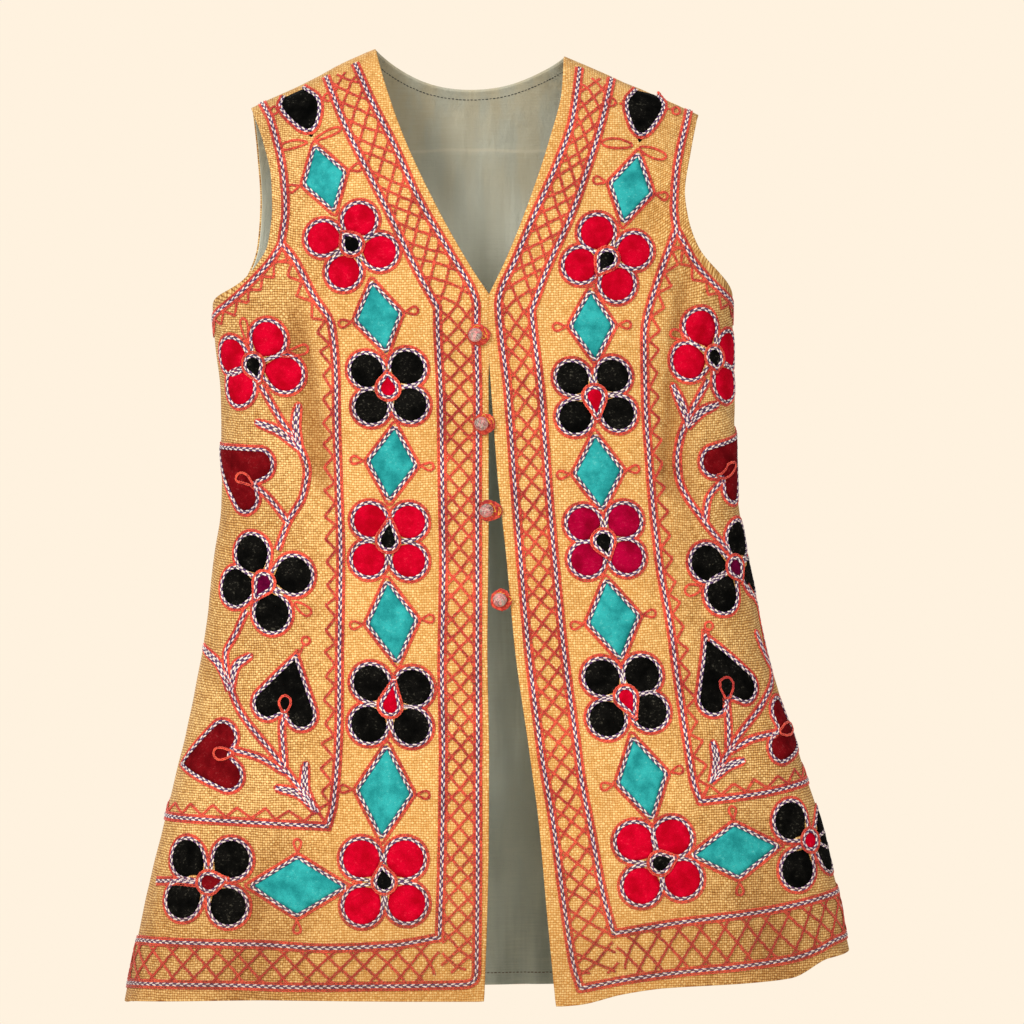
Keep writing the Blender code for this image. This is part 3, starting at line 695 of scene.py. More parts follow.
class Finish:
    """A material's nodes, round one Principled shader."""

    def __init__(self, name, **constants):
        self.material = bpy.data.materials.new(name)
        self.material.use_nodes = True
        self.tree = self.material.node_tree
        self.shader = self.tree.nodes["Principled BSDF"]
        for key, value in constants.items():
            self.shader.inputs[key.replace("_", " ")].default_value = value

    def node(self, kind, settings=None, inputs=None):
        made = self.tree.nodes.new(kind)
        for key, value in (settings or {}).items():
            setattr(made, key, value)
        for key, value in (inputs or {}).items():
            if isinstance(value, Wire):
                self.tree.links.new(value.socket, made.inputs[key])
            else:
                made.inputs[key].default_value = value
        live = [o for o in made.outputs if o.enabled]
        return Wire(self, live[0])

    def place(self):
        return self.node("ShaderNodeTexCoord")["Object"]

    def joined(self, x, y, z):
        return self.node("ShaderNodeCombineXYZ", {}, {0: x, 1: y, 2: z})

    def stretched(self, vector, scale):
        return self.node("ShaderNodeMapping", {}, {"Vector": vector, "Scale": scale})

    def noise(self, vector, scale, detail=2.0, roughness=0.5):
        inputs = {"Vector": vector, "Scale": scale, "Detail": detail, "Roughness": roughness}
        return self.node("ShaderNodeTexNoise", {}, inputs)

    def colour(self, share, low, high, way="MIX"):
        """A colour mixed from low to high by a share."""
        settings = {"data_type": "RGBA", "blend_type": way, "clamp_factor": True}
        low = low if isinstance(low, Wire) else (*low, 1)
        high = high if isinstance(high, Wire) else (*high, 1)
        return self.node("ShaderNodeMix", settings, {0: share, 6: low, 7: high})

    def along(self, vector, axis):
        """One coordinate of a vector."""
        return self.node("ShaderNodeSeparateXYZ", {}, {0: vector})[axis]

    def worn_low(self, place, colour, low_shade):
        """A colour darkened towards the hem with painted shade, where the light falls off low down."""
        height = self.along(place, "Z")
        return self.colour(height.between(-0.74, -0.56, 0.34, 0.0), colour, low_shade)

    def in_hollows(self, colour, most, shade):
        """A colour shaded where the cloth lies in the hollow of a fold."""
        hollow = self.node("ShaderNodeAttribute", {"attribute_name": "hollow"})["Fac"]
        return self.colour(hollow.between(0.1, 1.0, 0.0, most), colour, shade, "MULTIPLY")

    def bump(self, height, distance, strength=1.0):
        inputs = {"Height": height, "Distance": distance, "Strength": strength}
        return self.node("ShaderNodeBump", {}, inputs)

    def feed(self, **inputs):
        """Links into the shader's own sockets, and gives the material."""
        for key, value in inputs.items():
            self.tree.links.new(value.socket, self.shader.inputs[key.replace("_", " ")])
        return self.material


def burlap_finish():
    """Gold burlap: a plain weave of uneven round threads, with painted shade in the gaps and dips between them,
    darker at the sides, towards the hem and in the folds' hollows.
    """
    f = Finish("burlap", Sheen_Weight=0.04, Sheen_Roughness=0.6, Specular_IOR_Level=0.15)
    place = f.place()
    parts = f.node("ShaderNodeSeparateXYZ", {}, {0: f.node("ShaderNodeUVMap", {"uv_map": "weave"})})
    sway = f.noise(place, 26.0, 2.0)
    jitter = f.noise(place, 150.0, 2.0)
    u = parts["X"] + (sway - 0.5) * 2.2 + (jitter - 0.5) * 0.9
    drift = f.noise(f.stretched(place, (1.3, 1.3, 0.9)), 21.0, 2.0)
    v = parts["Y"] + (drift - 0.5) * 2.2 - (jitter - 0.5) * 0.7
    row, line = v.floor(), u.floor()
    off_u, off_v = u - line - 0.5, v - row - 0.5
    slub_u = f.noise(f.joined(line * 3.7, v * 0.45, 1.0), 1.0, 3.0)
    slub_v = f.noise(f.joined(u * 0.45, row * 3.7, 5.0), 1.0, 3.0)
    wide_u, wide_v = slub_u * 0.46 + 0.21, slub_v * 0.46 + 0.23
    bend_u = (1 - (off_u / wide_u) ** 2.0).most(0.0).root()
    bend_v = (1 - (off_v / wide_v) ** 2.0).most(0.0).root()
    over_u = ((v - 0.5 + line) * math.pi).cos()
    over_v = ((u - 0.5 + row) * math.pi).cos() * -1.0
    high_u, high_v = bend_u * (over_u * 0.42 + 0.44), bend_v * (over_v * 0.40 + 0.60)
    top = high_u.most(high_v)
    upper = high_u > high_v
    shade = slub_u * upper + slub_v * (1 - upper)
    fibre = f.noise(place, 1500.0, 1.0)
    patchy = f.noise(place, 13.0, 3.0)
    tone = shade * 0.85 + fibre * 0.35 + patchy * 0.3 - 0.22 - upper * 0.08
    thread = f.colour(tone.between(0.30, 0.72), (0.62, 0.325, 0.085), (0.90, 0.625, 0.255))
    # Painted shade: the gaps between the threads darken towards the sides, which turn away from the light, and
    # lighten across the middle of the front.
    across = f.along(place, "X")
    outer = ((across - 0.02) ** 2.0).root().between(0.09, 0.20)
    open_weave_and_side_shade = (slub_u * slub_v * 1.2 + patchy * 0.5 + (1 - outer) * 0.4).between(0.40, 0.95)
    # Painted shade in the weave's recesses: the gaps between the threads and the dips where they pass under take
    # this darker colour.
    recess_shade = f.colour(open_weave_and_side_shade, (0.22, 0.072, 0.010), (0.55, 0.230, 0.042))
    cover = top.between(0.30, 0.86)
    # Painted shade towards the hem, and in the hollows of the folds.
    colour = f.worn_low(place, f.colour(cover, recess_shade, thread), (0.20, 0.070, 0.010))
    colour = f.in_hollows(colour, 0.75, (0.50, 0.37, 0.25))
    pucker = f.noise(place, 34.0, 3.0)
    normal_out = f.bump(top + fibre * 0.15 + pucker * 11.0, 0.0008, 0.8)
    rough = shade * 0.1 + 0.84
    return f.feed(Base_Color=colour, Roughness=rough, Normal=normal_out)


# Turn of the cotton's weave for each thread of the burlap
FINE_WEAVE = 2 * math.pi * 3.2


def lining_finish():
    """Sage cotton lining: a fine even weave, softly creased and unevenly faded, with painted light below the neck,
    lower down and where the fronts open, painted shade near the hem and in its folds' hollows, and a painted
    highlight along its crease.
    """
    f = Finish("lining_cotton", Sheen_Weight=0.08, Sheen_Roughness=0.5, Specular_IOR_Level=0.15)
    place = f.place()
    parts = f.node("ShaderNodeSeparateXYZ", {}, {0: f.node("ShaderNodeUVMap", {"uv_map": "weave"})})
    fine = (parts["X"] * FINE_WEAVE).sin() * (parts["Y"] * FINE_WEAVE).sin()
    streak = f.noise(f.stretched(place, (1.0, 1.0, 0.12)), 90.0, 3.0)
    slub = f.noise(f.stretched(place, (0.05, 0.05, 1.0)), 900.0, 2.0)
    cloud = f.noise(place, 9.0, 3.0)
    height = f.along(place, "Z")
    # Warmer tint at the top; the paler colour lower down is partly painted light, making up for the shade inside
    # the fronts.
    warm_top_and_painted_light = (height + (cloud - 0.5) * 0.25).between(-0.30, 0.04)
    base = f.colour(warm_top_and_painted_light, (0.600, 0.655, 0.585), (0.470, 0.400, 0.260))
    # Painted shade near the hem, where the gap between the fronts narrows.
    low = (height + (cloud - 0.5) * 0.2).between(-0.70, -0.50, 0.9, 0.0)
    base = f.colour(low, base, (0.185, 0.203, 0.165))
    down = height * -1.0
    # Painted light on a band where the fronts open wide.
    painted_light_band = down.between(0.36, 0.46) * down.between(0.50, 0.60, 0.6, 0.0)
    base = f.colour(painted_light_band, base, (0.92, 0.95, 0.85))
    broad = f.noise(f.stretched(place, (1.0, 1.0, 0.12)), 52.0, 3.0)
    base = f.colour(broad.between(0.42, 0.62, 0.0, 0.45), base, (0.40, 0.43, 0.375))
    # A pale line along the crease: a painted highlight on its ridge.
    crease_highlight = (1 - ((height + 0.0485 + (cloud - 0.5) * 0.012) / 0.0016) ** 2.0).most(0.0)
    base = f.colour(crease_highlight * 0.5, base, (0.62, 0.56, 0.40))
    # Painted light on a band below the neck, and painted shade in the hollows of the folds.
    lit = down.between(0.06, 0.15) * down.between(0.17, 0.30, 0.8, 0.0)
    base = f.in_hollows(f.colour(lit, base, (0.82, 0.82, 0.68)), 0.8, (0.62, 0.63, 0.62))
    worn = f.colour((streak * 0.6 + slub * 0.4).between(0.35, 0.7, 0.0, 0.30), base, (0.52, 0.50, 0.38))
    crease = (streak * 0.7 + cloud * 0.3).between(0.3, 0.7)
    normal_out = f.bump(fine * 0.10 + slub * 0.25 + crease * 1.6, 0.0012, 0.8)
    return f.feed(Base_Color=worn, Roughness=cloud * 0.1 + 0.82, Normal=normal_out)


def velvet_finish(name, dark, light, lint, sheen):
    """Cut velvet: short pile brushed in patches, with a few light specks."""
    f = Finish(name, Sheen_Weight=sheen, Sheen_Roughness=0.35, Specular_IOR_Level=0.02)
    f.shader.inputs["Sheen Tint"].default_value = (*light, 1)
    place = f.place()
    brushed = f.noise(place, 75.0, 4.0, 0.6)
    pile = f.noise(place, 1500.0, 2.0)
    base = f.colour((brushed * 0.75 + pile * 0.25).between(0.32, 0.68), dark, light)
    specks = f.noise(f.stretched(place, (1.0, 1.0, 1.4)), 420.0, 3.0, 0.7)
    dusty = specks.between(0.55, 0.72) * brushed.between(0.44, 0.58)
    colour = f.colour(dusty * 0.65, base, lint)
    normal_out = f.bump(pile * 0.5 + brushed, 0.0007, 0.5)
    return f.feed(Base_Color=colour, Roughness=brushed * 0.15 + 0.8, Normal=normal_out)


def thread_finish(name, dark, light, gloss=0.55):
    """Embroidery thread: colour that drifts along the sewing, with fine fibres."""
    f = Finish(name, Sheen_Weight=0.15, Sheen_Roughness=0.4, Specular_IOR_Level=0.35)
    place = f.place()
    drift = f.noise(place, 28.0, 3.0)
    single = f.noise(place, 420.0, 1.0)
    fibre = f.noise(place, 3200.0, 1.0)
    colour = f.colour((drift * 0.4 + single * 0.45 + fibre * 0.15).between(0.34, 0.66), dark, light)
    # Painted shade: the thread darkens towards the hem, where the light falls off.
    colour = f.worn_low(place, colour, (0.16, 0.05, 0.012))
    return f.feed(Base_Color=colour, Roughness=fibre * 0.2 + gloss, Normal=f.bump(fibre, 0.0002, 0.6))


BURLAP = burlap_finish()
LINING_COTTON = lining_finish()
VELVETS = {
    "black": velvet_finish("velvet_black", (0.0006, 0.0006, 0.0005), (0.0055, 0.0050, 0.0042),
                           (0.080, 0.074, 0.055), 0.0),
    "red": velvet_finish("velvet_red", (0.32, 0.0002, 0.006), (0.56, 0.0006, 0.019),
                         (0.72, 0.02, 0.05), 0.005),
    "crimson": velvet_finish("velvet_crimson", (0.18, 0.0002, 0.010), (0.38, 0.0006, 0.032),
                             (0.45, 0.02, 0.06), 0.01),
    "dark_red": velvet_finish("velvet_dark_red", (0.080, 0.0010, 0.0022), (0.175, 0.0035, 0.0060),
                              (0.26, 0.04, 0.04), 0.0),
    "plum": velvet_finish("velvet_plum", (0.05, 0.0004, 0.012), (0.12, 0.001, 0.028),
                          (0.2, 0.03, 0.05), 0.01),
    "teal": velvet_finish("velvet_teal", (0.009, 0.18, 0.180), (0.030, 0.37, 0.355),
                          (0.12, 0.48, 0.44), 0.01),
}
ORANGE_THREAD = thread_finish("orange_thread", (0.33, 0.009, 0.009), (0.87, 0.098, 0.046))
LATTICE_THREAD = thread_finish("lattice_thread", (0.30, 0.009, 0.009), (0.80, 0.094, 0.043))
RED_THREAD = thread_finish("red_thread", (0.30, 0.008, 0.008), (0.62, 0.035, 0.022))
WHITE_THREAD = thread_finish("white_thread", (0.58, 0.46, 0.46), (0.95, 0.83, 0.72))
PURPLE_THREAD = thread_finish("purple_thread", (0.030, 0.009, 0.055), (0.105, 0.038, 0.155))
YELLOW_THREAD = thread_finish("yellow_thread", (0.60, 0.24, 0.02), (0.92, 0.52, 0.06))
GREY_GREEN_THREAD = thread_finish("grey_green_thread", (0.018, 0.020, 0.016), (0.07, 0.072, 0.055), 0.8)
PINK_THREAD = thread_finish("pink_thread", (0.50, 0.10, 0.10), (0.88, 0.36, 0.33), 0.7)
GREY_THREAD = thread_finish("grey_thread", (0.22, 0.19, 0.14), (0.62, 0.54, 0.44), 0.7)
MAUVE_THREAD = thread_finish("mauve_thread", (0.14, 0.05, 0.06), (0.36, 0.16, 0.16), 0.7)


def cream_paper():
    """The plain cream floor."""
    f = Finish("cream_paper", Specular_IOR_Level=0.0)
    mottle = f.noise(f.place(), 3.0, 2.0)
    colour = f.colour(mottle, (0.86, 0.76, 0.63), (0.90, 0.80, 0.665))
    return f.feed(Base_Color=colour, Roughness=mottle * 0.02 + 0.9)


# Sewing: every stitch is made along a line by one node tree

# Sides and rings of a stitch
SPINDLE_SIDES = 5
SPINDLE_RINGS = 3


def stitch_tree():
    """Rows of spindle-shaped stitches along the lines of a wire mesh.

    Pairs lie side by side, as in a chain; otherwise single stitches change sides as they go.
    """
    tree = bpy.data.node_groups.new("stitches", "GeometryNodeTree")
    face = tree.interface
    face.new_socket("Geometry", in_out="INPUT", socket_type="NodeSocketGeometry")
    for name in ("Pitch", "Length", "Width", "Height", "Spread", "Slant", "Wander"):
        face.new_socket(name, in_out="INPUT", socket_type="NodeSocketFloat")
    face.new_socket("In Pairs", in_out="INPUT", socket_type="NodeSocketBool")
    face.new_socket("First Side", in_out="INPUT", socket_type="NodeSocketInt")
    face.new_socket("Seed", in_out="INPUT", socket_type="NodeSocketInt")
    face.new_socket("Thread", in_out="INPUT", socket_type="NodeSocketMaterial")
    face.new_socket("Geometry", in_out="OUTPUT", socket_type="NodeSocketGeometry")
    given = tree.nodes.new("NodeGroupInput")

    def add(kind, settings=None, inputs=None):
        made = tree.nodes.new(kind)
        for key, value in (settings or {}).items():
            setattr(made, key, value)
        for key, value in (inputs or {}).items():
            if isinstance(value, bpy.types.NodeSocket):
                tree.links.new(value, made.inputs[key])
            else:
                made.inputs[key].default_value = value
        return made

    def maths(operation, a, b=0.0):
        return add("ShaderNodeMath", {"operation": operation}, {0: a, 1: b}).outputs[0]

    def vector(operation, a, b=None, scale=None):
        inputs = {0: a}
        if b is not None:
            inputs[1] = b
        if scale is not None:
            inputs["Scale"] = scale
        return add("ShaderNodeVectorMath", {"operation": operation}, inputs).outputs[0]

    line = add("GeometryNodeMeshToCurve", {}, {0: given.outputs["Geometry"]}).outputs[0]
    line = add("GeometryNodeResampleCurve", {"mode": "LENGTH"},
               {0: line, "Length": given.outputs["Pitch"]}).outputs[0]
    upward = add("GeometryNodeInputNamedAttribute", {"data_type": "FLOAT_VECTOR"}, {0: "up"})
    ahead = add("GeometryNodeInputTangent").outputs[0]
    side = vector("NORMALIZE", vector("CROSS_PRODUCT", ahead, upward.outputs[0]))
    for name, value in (("side", side), ("ahead", ahead)):
        settings = {"data_type": "FLOAT_VECTOR", "domain": "POINT"}
        inputs = {0: line, "Name": name, "Value": value}
        line = add("GeometryNodeStoreNamedAttribute", settings, inputs).outputs[0]

    def named(name):
        return add("GeometryNodeInputNamedAttribute", {"data_type": "FLOAT_VECTOR"}, {0: name}).outputs[0]

    number = add("GeometryNodeInputIndex").outputs[0]
    parity = maths("MODULO", maths("ADD", number, given.outputs["First Side"]), 2.0)
    swing = maths("SUBTRACT", maths("MULTIPLY", parity, 2.0), 1.0)
    paired = given.outputs["In Pairs"]
    alone = maths("SUBTRACT", 1.0, paired)
    sizes = {"Segments": SPINDLE_SIDES, "Rings": SPINDLE_RINGS, "Radius": 0.5}
    ball = add("GeometryNodeMeshUVSphere", {}, sizes)
    ball = add("GeometryNodeSetShadeSmooth", {}, {0: ball.outputs[0]}).outputs[0]
    size = add("ShaderNodeCombineXYZ", {}, {0: given.outputs["Width"], 1: given.outputs["Height"],
                                            2: given.outputs["Length"]}).outputs[0]
    rows = []
    for order in (0, 1):
        # the first row changes sides when stitches are single; the second row is there for pairs alone
        if order == 0:
            sign = maths("ADD", maths("MULTIPLY", swing, alone), paired)
        else:
            sign = maths("MULTIPLY", paired, -1.0)
        seed = maths("ADD", given.outputs["Seed"], float(order * 7))
        wander = add("FunctionNodeRandomValue", {"data_type": "FLOAT_VECTOR"},
                     {0: (-1, -1, -1), 1: (1, 1, 1), "Seed": seed}).outputs[0]
        aside = vector("SCALE", named("side"), scale=maths("MULTIPLY", sign, given.outputs["Spread"]))
        stray = vector("SCALE", wander, scale=given.outputs["Wander"])
        moved = add("GeometryNodeSetPosition", {}, {0: line, "Offset": vector("ADD", aside, stray)}).outputs[0]
        slant = maths("MULTIPLY", sign, maths("MULTIPLY", given.outputs["Slant"], -1.0))
        lean = vector("SCALE", named("side"), scale=slant)
        heading = vector("NORMALIZE", vector("ADD", named("ahead"), lean))
        turn = add("FunctionNodeAxesToRotation", {"primary_axis": "Z", "secondary_axis": "X"},
                   {0: heading, 1: named("side")}).outputs[0]
        vary = add("FunctionNodeRandomValue", {"data_type": "FLOAT"},
                   {2: 0.9, 3: 1.12, "Seed": maths("ADD", seed, 3.0)}).outputs[1]
        inputs = {0: moved, "Instance": ball, "Rotation": turn, "Scale": vector("SCALE", size, scale=vary)}
        if order == 1:
            inputs["Selection"] = paired
        rows.append(add("GeometryNodeInstanceOnPoints", {}, inputs).outputs[0])
    joined = tree.nodes.new("GeometryNodeJoinGeometry")
    for row in rows:
        tree.links.new(row, joined.inputs[0])
    real = add("GeometryNodeRealizeInstances", {}, {0: joined.outputs[0]}).outputs[0]
    made = add("GeometryNodeSetMaterial", {}, {0: real, "Material": given.outputs["Thread"]}).outputs[0]
    out = tree.nodes.new("NodeGroupOutput")
    tree.links.new(made, out.inputs[0])
    return tree


STITCHES = stitch_tree()
STITCH_LENGTHS = ("Pitch", "Length", "Width", "Height", "Spread", "Wander")


def sewn(name, lines, lift, thread, **sizes):
    """Stitches along (s, z) lines, laid on the cloth at a lift, which may be a function of the place.

    A line is its points, whether it is closed, and how much higher than the others it lies.
    """
    spots, edges, ups, start = [], [], [], 0
    for line in lines:
        points, closed, rise = (*line, 0.0)[:3]
        points = np.asarray(points, float)
        s, z = points[:, 0], points[:, 1]
        spots.append(surface(s, z, (lift(s, z) if callable(lift) else lift) + rise))
        ups.append(normal(s, z))
        count = len(points)
        edges += [(start + i, start + i + 1) for i in range(count - 1)]
        if closed:
            edges.append((start + count - 1, start))
        start += count
    return stitched(name, np.concatenate(spots), np.concatenate(ups), edges, thread, **sizes)


def stitched(name, spots, ups, edges, thread, **sizes):
    """The stitch tree run on a wire mesh, and its result made a plain mesh."""
    mesh = bpy.data.meshes.new(name)
    mesh.from_pydata(spots * MM, edges, [])
    up = mesh.attributes.new("up", "FLOAT_VECTOR", "POINT")
    up.data.foreach_set("vector", ups.astype(np.float32).ravel())
    made = bpy.data.objects.new(name, mesh)
    bpy.context.scene.collection.objects.link(made)
    modifier = made.modifiers.new("stitches", "NODES")
    modifier.node_group = STITCHES
    items = STITCHES.interface.items_tree
    sockets = {item.name: item.identifier for item in items if item.in_out == "INPUT"}
    for key, value in sizes.items():
        title = key.replace("_", " ").title()
        modifier[sockets[title]] = value * MM if title in STITCH_LENGTHS else value
    modifier[sockets["Thread"]] = thread
    graph = bpy.context.evaluated_depsgraph_get()
    graph.update()
    result = bpy.data.meshes.new_from_object(made.evaluated_get(graph))
    made.modifiers.remove(modifier)
    made.data = result
    bpy.data.meshes.remove(mesh)
    result.name = name
    for attribute in [a.name for a in result.attributes if a.name in ("up", "side", "ahead")]:
        result.attributes.remove(result.attributes[attribute])
    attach(made, BODY)
    return made


STITCH_KINDS = table(
    "kind pitch length width height spread slant wander in_pairs",
    ("chain", 3.0, 4.2, 1.4, 1.4, 0.62, 0.16, 0.08, True),
    ("fine", 2.5, 3.6, 1.15, 1.2, 0.52, 0.14, 0.1, True),
    ("lattice", 2.8, 4.0, 1.3, 1.25, 0.6, 0.14, 0.1, True),
    ("two_tone", 3.2, 4.6, 1.55, 1.55, 0.74, 0.22, 0.08, False),
    ("running", 3.1, 2.6, 1.0, 0.7, 0.0, 0.0, 0.12, False),
)
STITCH = {row.kind: {key: value for key, value in row._asdict().items() if key != "kind"} for row in STITCH_KINDS}
# How high the lines lie over the cloth, and how much higher those that cross others
CHAIN_LIFT = 0.55
TWO_TONE_LIFT = 0.75
RAISED = 0.85
KNOT_RISE = 1.0
# How far from a two-tone line its orange lines run
ORANGE_OFF = 2.6


def offset(points, distance, closed=False):
    """A line beside a line, to the left of its way when the distance is positive."""
    points = np.asarray(points, float)
    if closed:
        before, after = np.roll(points, 1, axis=0), np.roll(points, -1, axis=0)
        first, second = unit(points - before), unit(after - points)
    else:
        steps = unit(np.diff(points, axis=0))
        first = np.concatenate((steps[:1], steps))
        second = np.concatenate((steps, steps[-1:]))
    left_first = np.stack((-first[:, 1], first[:, 0]), axis=-1)
    left_second = np.stack((-second[:, 1], second[:, 0]), axis=-1)
    middle = unit(left_first + left_second)
    reach = distance / np.maximum((middle * left_first).sum(-1, keepdims=True), 0.45)
    return points + middle * reach


def even(points, closed=False, step=1.6):
    """The same line with a point every step."""
    points = np.asarray(points, float)
    if closed:
        points = np.concatenate((points, points[:1]))
    along = lengths(points)
    count = max(3, int(round(along[-1] / step)) + 1)
    at = np.linspace(0, along[-1], count)
    line = np.stack([np.interp(at, along, points[:, k]) for k in range(2)], axis=-1)
    return line[:-1] if closed else line


# The lines of the border, given as seen, from the neck down

BORDER = {
    "left": {
        "outer_neck": [(-95.2, 12), (-82.4, -16.8), (-64.8, -51.2), (-44.8, -95.2), (-19.2, -139.2),
                       (-0.8, -171.2), (1.6, -180)],
        "outer_front": [(1.6, -180), (2.4, -240), (2.4, -416), (2.4, -576), (1.6, -715.2)],
        "outer_hem": [(1.6, -720), (-6.4, -724), (-92, -725.6), (-148.8, -726.2), (-192, -724.8),
                      (-270, -723.2)],
        "inner_neck": [(-118.4, 1.6), (-104, -35.2), (-88, -68), (-66.4, -111.2), (-44.8, -155.2),
                       (-29.6, -182.4)],
        "inner_front": [(-29.6, -182.4), (-27.2, -244), (-24.8, -368), (-25.6, -496), (-28, -686.4)],
        "inner_hem": [(-28, -686.4), (-68, -692.8), (-120.8, -695), (-177.6, -692), (-262, -689)],
        "armhole": [(-169.6, -19.2), (-162.4, -33.6), (-152, -82.4), (-151, -104), (-154.4, -131.2)],
        "underarm": [(-154.4, -131.2), (-163.2, -145.6), (-188, -171.2), (-203, -184)],
        "frame": [(-154.4, -131.2), (-144, -144), (-128.8, -172.8), (-114.4, -196.8), (-112, -215.2),
                  (-110.4, -272.8), (-107.2, -368), (-108, -466.4), (-108.8, -528), (-112.8, -580),
                  (-117.6, -597.6)],
        "frame_foot": [(-117.6, -597.6), (-177.6, -594.4), (-241, -590)],
    },
    "right": {
        "outer_neck": [(84, 8.8), (78.4, -31.2), (65.6, -68), (48, -108), (32.8, -144),
                       (20, -173.6), (19.2, -180)],
        "outer_front": [(19.2, -180), (36.8, -383.2), (52, -528), (62.4, -591.2), (71.2, -656.8),
                        (79.2, -708), (84.8, -727.2)],
        "outer_hem": [(84.8, -727.2), (127.2, -719.2), (169.6, -713.6), (212.8, -709.6), (255.2, -703.2),
                      (273.6, -696.8), (288, -688)],
        "inner_neck": [(109.6, 0.8), (102.4, -31.2), (89.6, -73.6), (75.2, -113.6), (60.8, -144.8),
                       (45.6, -184.8)],
        "inner_front": [(45.6, -184.8), (63.2, -374.4), (84, -549.6), (93.6, -602.4), (102.4, -649.6),
                        (111.2, -683.2)],
        "inner_hem": [(111.2, -683.2), (169.6, -673.6), (227.2, -666.4), (255.2, -660.8), (280, -653.5)],
        "armhole": [(171.2, -24.8), (160.8, -76.8), (159.6, -104), (161.2, -119.6)],
        "underarm": [(161.2, -119.6), (175.2, -144), (189.6, -162.4), (203, -175)],
        "frame": [(161.2, -119.6), (147.2, -158.4), (137.6, -191.2), (136, -203.2), (136.8, -260),
                  (140.8, -316.8), (147.2, -381.6), (157.6, -444.8), (166.4, -508.8), (175.2, -562.4),
                  (180.8, -577.6)],
        "frame_foot": [(180.8, -577.6), (212.8, -573.6), (240.8, -568.8), (258, -564)],
    },
}
# Heights at which the border's lines reach the side seams
SEAM_ENDS = {
    "left": {"outer_hem": -731.0, "inner_hem": -697.0, "underarm": -196.0, "frame_foot": -590.0},
    "right": {"outer_hem": -682.0, "inner_hem": -645.0, "underarm": -189.0, "frame_foot": -556.0},
}


def border_line(side, name):
    """One line of a front's border as (s, z) places, taken on to the side seam where it reaches it."""
    line = seen(BORDER[side][name])
    if name in SEAM_ENDS[side]:
        z = SEAM_ENDS[side][name]
        line = np.concatenate((line, [(side_seam(z, side), z)]))
    return drawn(line, 1.6)


def run_on(*lines):
    """Lines that follow on from each other, as one with corners."""
    return np.concatenate([lines[0]] + [line[1:] for line in lines[1:]])


# Spacing along the band, and how far a diagonal runs along as it crosses
LATTICE = {"front": (16.0, 23.5), "hem": (18.6, 25.0)}
RAIL_BLEND = 25


def band_places(rail, other, run_past):
    """The places of a rail a millimetre apart, and the places across the band from them."""
    near, far = even(rail, step=1.0), even(other, step=1.0)
    if run_past:
        ahead = unit(near[-1] - near[-12])
        near = np.concatenate((near, near[-1] + ahead * np.arange(1.0, run_past)[:, None]))
    across = np.linalg.norm(near[:, None] - far[None], axis=-1).argmin(axis=1).astype(float)
    across = np.pad(across, RAIL_BLEND, mode="edge")
    across = np.convolve(across, np.ones(2 * RAIL_BLEND + 1) / (2 * RAIL_BLEND + 1), mode="valid")
    return near, np.stack([np.interp(across, np.arange(len(far)), far[:, k]) for k in range(2)], axis=-1)


def lattice(rail, other, spacing, advance, seed, run_past=0):
    """Diagonals between two rails: those that run away from the first rail, and those that cross them."""
    randoms = np.random.default_rng(seed)
    near, far = band_places(rail, other, run_past)
    crossing = [], []
    for start in np.arange(-advance, len(near), spacing):
        for way in (0, 1):
            shift, bow = randoms.uniform(-1.6, 1.6), randoms.uniform(-1.2, 1.2)
            t = np.linspace(0, 1, 16)
            at = start + shift + t * advance
            kept = (at > 0) & (at < len(near) - 1)
            if kept.sum() < 4:
                continue
            at, t = at[kept], t[kept]
            place = at.astype(int)
            share = (t if way else 1 - t)[:, None]
            line = near[place] + (far[place] - near[place]) * share
            line[:, 1] += bow * np.sin(math.pi * t)
            crossing[way].append((even(drawn(line, 1.6)), False))
    return crossing


def zigzag(line, way, period, depth, seed):
    """A zigzag beside a line, on its left when way is 1."""
    randoms = np.random.default_rng(seed)
    rail = even(line, step=1.0)
    along = lengths(rail)[-1]
    count = max(2, int(round(along / period)) * 2)
    near, far = offset(rail, way * (ORANGE_OFF + 0.8)), offset(rail, way * (ORANGE_OFF + 0.8 + depth))
    points = []
    for k in range(count + 1):
        share = np.clip((k + randoms.uniform(-0.2, 0.2)) / count, 0.004, 0.996)
        place = int(share * (len(rail) - 1))
        points.append(near[place] + (far[place] - near[place]) * (randoms.uniform(0.8, 1.1) if k % 2 else 0.0))
    return even(points)


def rounded(points, times=2, closed=False):
    """A line with its corners cut, so that they turn softly."""
    points = np.asarray(points, float)
    for _ in range(times):
        if closed:
            after = np.roll(points, -1, axis=0)
            points = np.stack((points * 0.75 + after * 0.25, points * 0.25 + after * 0.75), axis=1).reshape(-1, 2)
        else:
            cut = np.stack((points[:-1] * 0.75 + points[1:] * 0.25, points[:-1] * 0.25 + points[1:] * 0.75), axis=1)
            points = np.concatenate((points[:1], cut.reshape(-1, 2), points[-1:]))
    return points


# Velvet motifs

